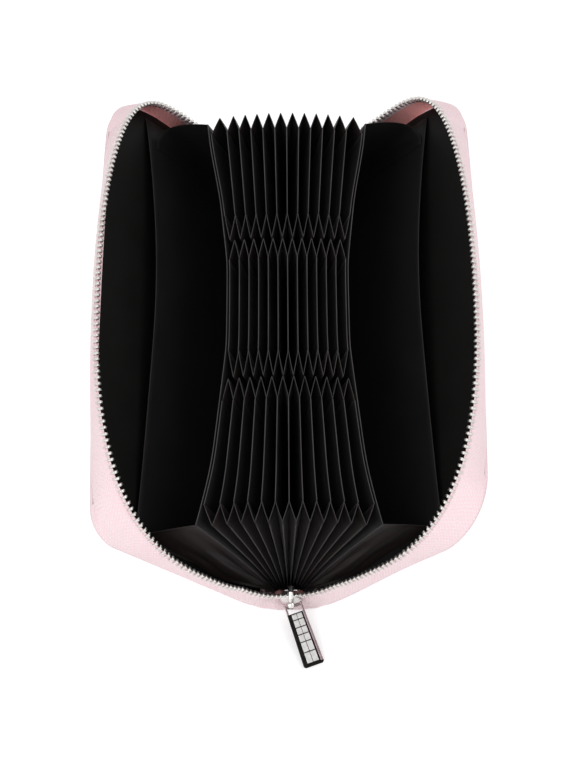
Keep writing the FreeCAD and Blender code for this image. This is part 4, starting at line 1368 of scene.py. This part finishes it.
spine_cloth = plain_cloth("spine_cloth", screen(12, 11, 11), screen(18, 17, 17))
STAYING = {"spine_lining": spine_cloth, "binding_strip": spine_cloth, "zip_bottom_stop": nickel,
           "front_zip_top_stop": nickel, "back_zip_top_stop": nickel}
for name, material in STAYING.items():
    solid = nodes[name]
    solid.data.materials.clear()
    solid.data.materials.append(material)
print("solids kept:", list(STAYING))

# %% [markdown]
# The wallet was photographed on pure white, from above one short end. The floor is a pale plane that keeps
# a soft contact shadow, and a large white sky gives an even light, so colours come out as they are written.
# Two soft lamps above add a little shape.

# %% Floor and light
SKY_LIGHT = 0.72
FLOOR_GLOW = 0.34
FLOOR_HALF = 3000.0
FLOOR_Z = -0.05
WALLET_MIDDLE = (0, 0, 0.04)


def seen_directly(tree):
    """1 where the camera, a mirror or a glass looks, and 0 for the light on things."""
    path = add_node(tree, "ShaderNodeLightPath")
    seen = combine(tree, "MAXIMUM", path.outputs["Is Camera Ray"], path.outputs["Is Glossy Ray"])
    return combine(tree, "MAXIMUM", seen, path.outputs["Is Transmission Ray"])


def stage_floor():
    """A wide pale floor, white to the camera, with the object's shadow on it."""
    corners = [(x * FLOOR_HALF, y * FLOOR_HALF, FLOOR_Z) for x, y in ((-1, -1), (1, -1), (1, 1), (-1, 1))]
    material, tree, shader = new_finish("white_floor", 0.9, Base_Color=(0.9, 0.9, 0.9, 1))
    strength = combine(tree, "MULTIPLY", seen_directly(tree), FLOOR_GLOW)
    glow = add_node(tree, "ShaderNodeEmission", {"Strength": strength})
    both = add_node(tree, "ShaderNodeAddShader", {0: shader.outputs["BSDF"], 1: glow.outputs["Emission"]})
    tree.links.new(both.outputs["Shader"], tree.nodes["Material Output"].inputs["Surface"])
    floor = add_mesh("studio_floor", corners, [[0, 1, 2, 3]], [material], smooth=False)


def sky():
    """Even white light from all round."""
    world = bpy.data.worlds.new("studio_sky")
    bpy.context.scene.world = world
    world.use_nodes = True
    tree = world.node_tree
    background = tree.nodes["Background"]
    background.inputs["Color"].default_value = (1, 1, 1, 1)
    strength = combine(tree, "MULTIPLY_ADD", seen_directly(tree), 1.0 - SKY_LIGHT, SKY_LIGHT)
    tree.links.new(strength, background.inputs["Strength"])


def soft_lamp(name, place, size, power):
    """A square soft lamp turned towards the wallet."""
    data = bpy.data.lights.new(name, "AREA")
    data.size = size
    data.energy = power
    lamp = bpy.data.objects.new(name, data)
    lamp.location = place
    sight = Vector(WALLET_MIDDLE) - Vector(place)
    lamp.rotation_euler = sight.to_track_quat("-Z", "Y").to_euler()
    bpy.context.scene.collection.objects.link(lamp)


stage_floor()
sky()
soft_lamp("key_lamp", (-0.5, -0.7, 0.9), size=0.6, power=3.2)
soft_lamp("fill_lamp", (0.6, -0.2, 0.9), size=0.6, power=1.8)
print("stage: white floor, white sky, two soft lamps")

# %% [markdown]
# The camera stands where the photograph was taken from. Its place, turn and focal length were solved from the
# perspective in the photograph.

# %% Camera
PHOTO_HIGH = 768
FOCAL_PIXELS = 1837.3
SENSOR_HIGH = 24.0
CAMERA_RISE = math.radians(63.33)
CAMERA_TURN = math.radians(-0.33)
CAMERA_DISTANCE = 0.7732
CAMERA_TARGET = Vector((0, -0.01376, 0.030))
camera_data = bpy.data.cameras.new("photo_camera")
camera_data.sensor_fit = "VERTICAL"
camera_data.sensor_height = SENSOR_HIGH
camera_data.lens = FOCAL_PIXELS * SENSOR_HIGH / PHOTO_HIGH
camera = bpy.data.objects.new("photo_camera", camera_data)
level = math.cos(CAMERA_RISE)
away = Vector((math.sin(CAMERA_TURN) * level, -math.cos(CAMERA_TURN) * level, math.sin(CAMERA_RISE)))
camera.location = CAMERA_TARGET + CAMERA_DISTANCE * away
camera.rotation_euler = (math.pi / 2 - CAMERA_RISE, 0, CAMERA_TURN)
bpy.context.scene.collection.objects.link(camera)
bpy.context.scene.camera = camera
bpy.context.scene.view_settings.view_transform = "Standard"
print("camera at", [round(v, 3) for v in camera.location])
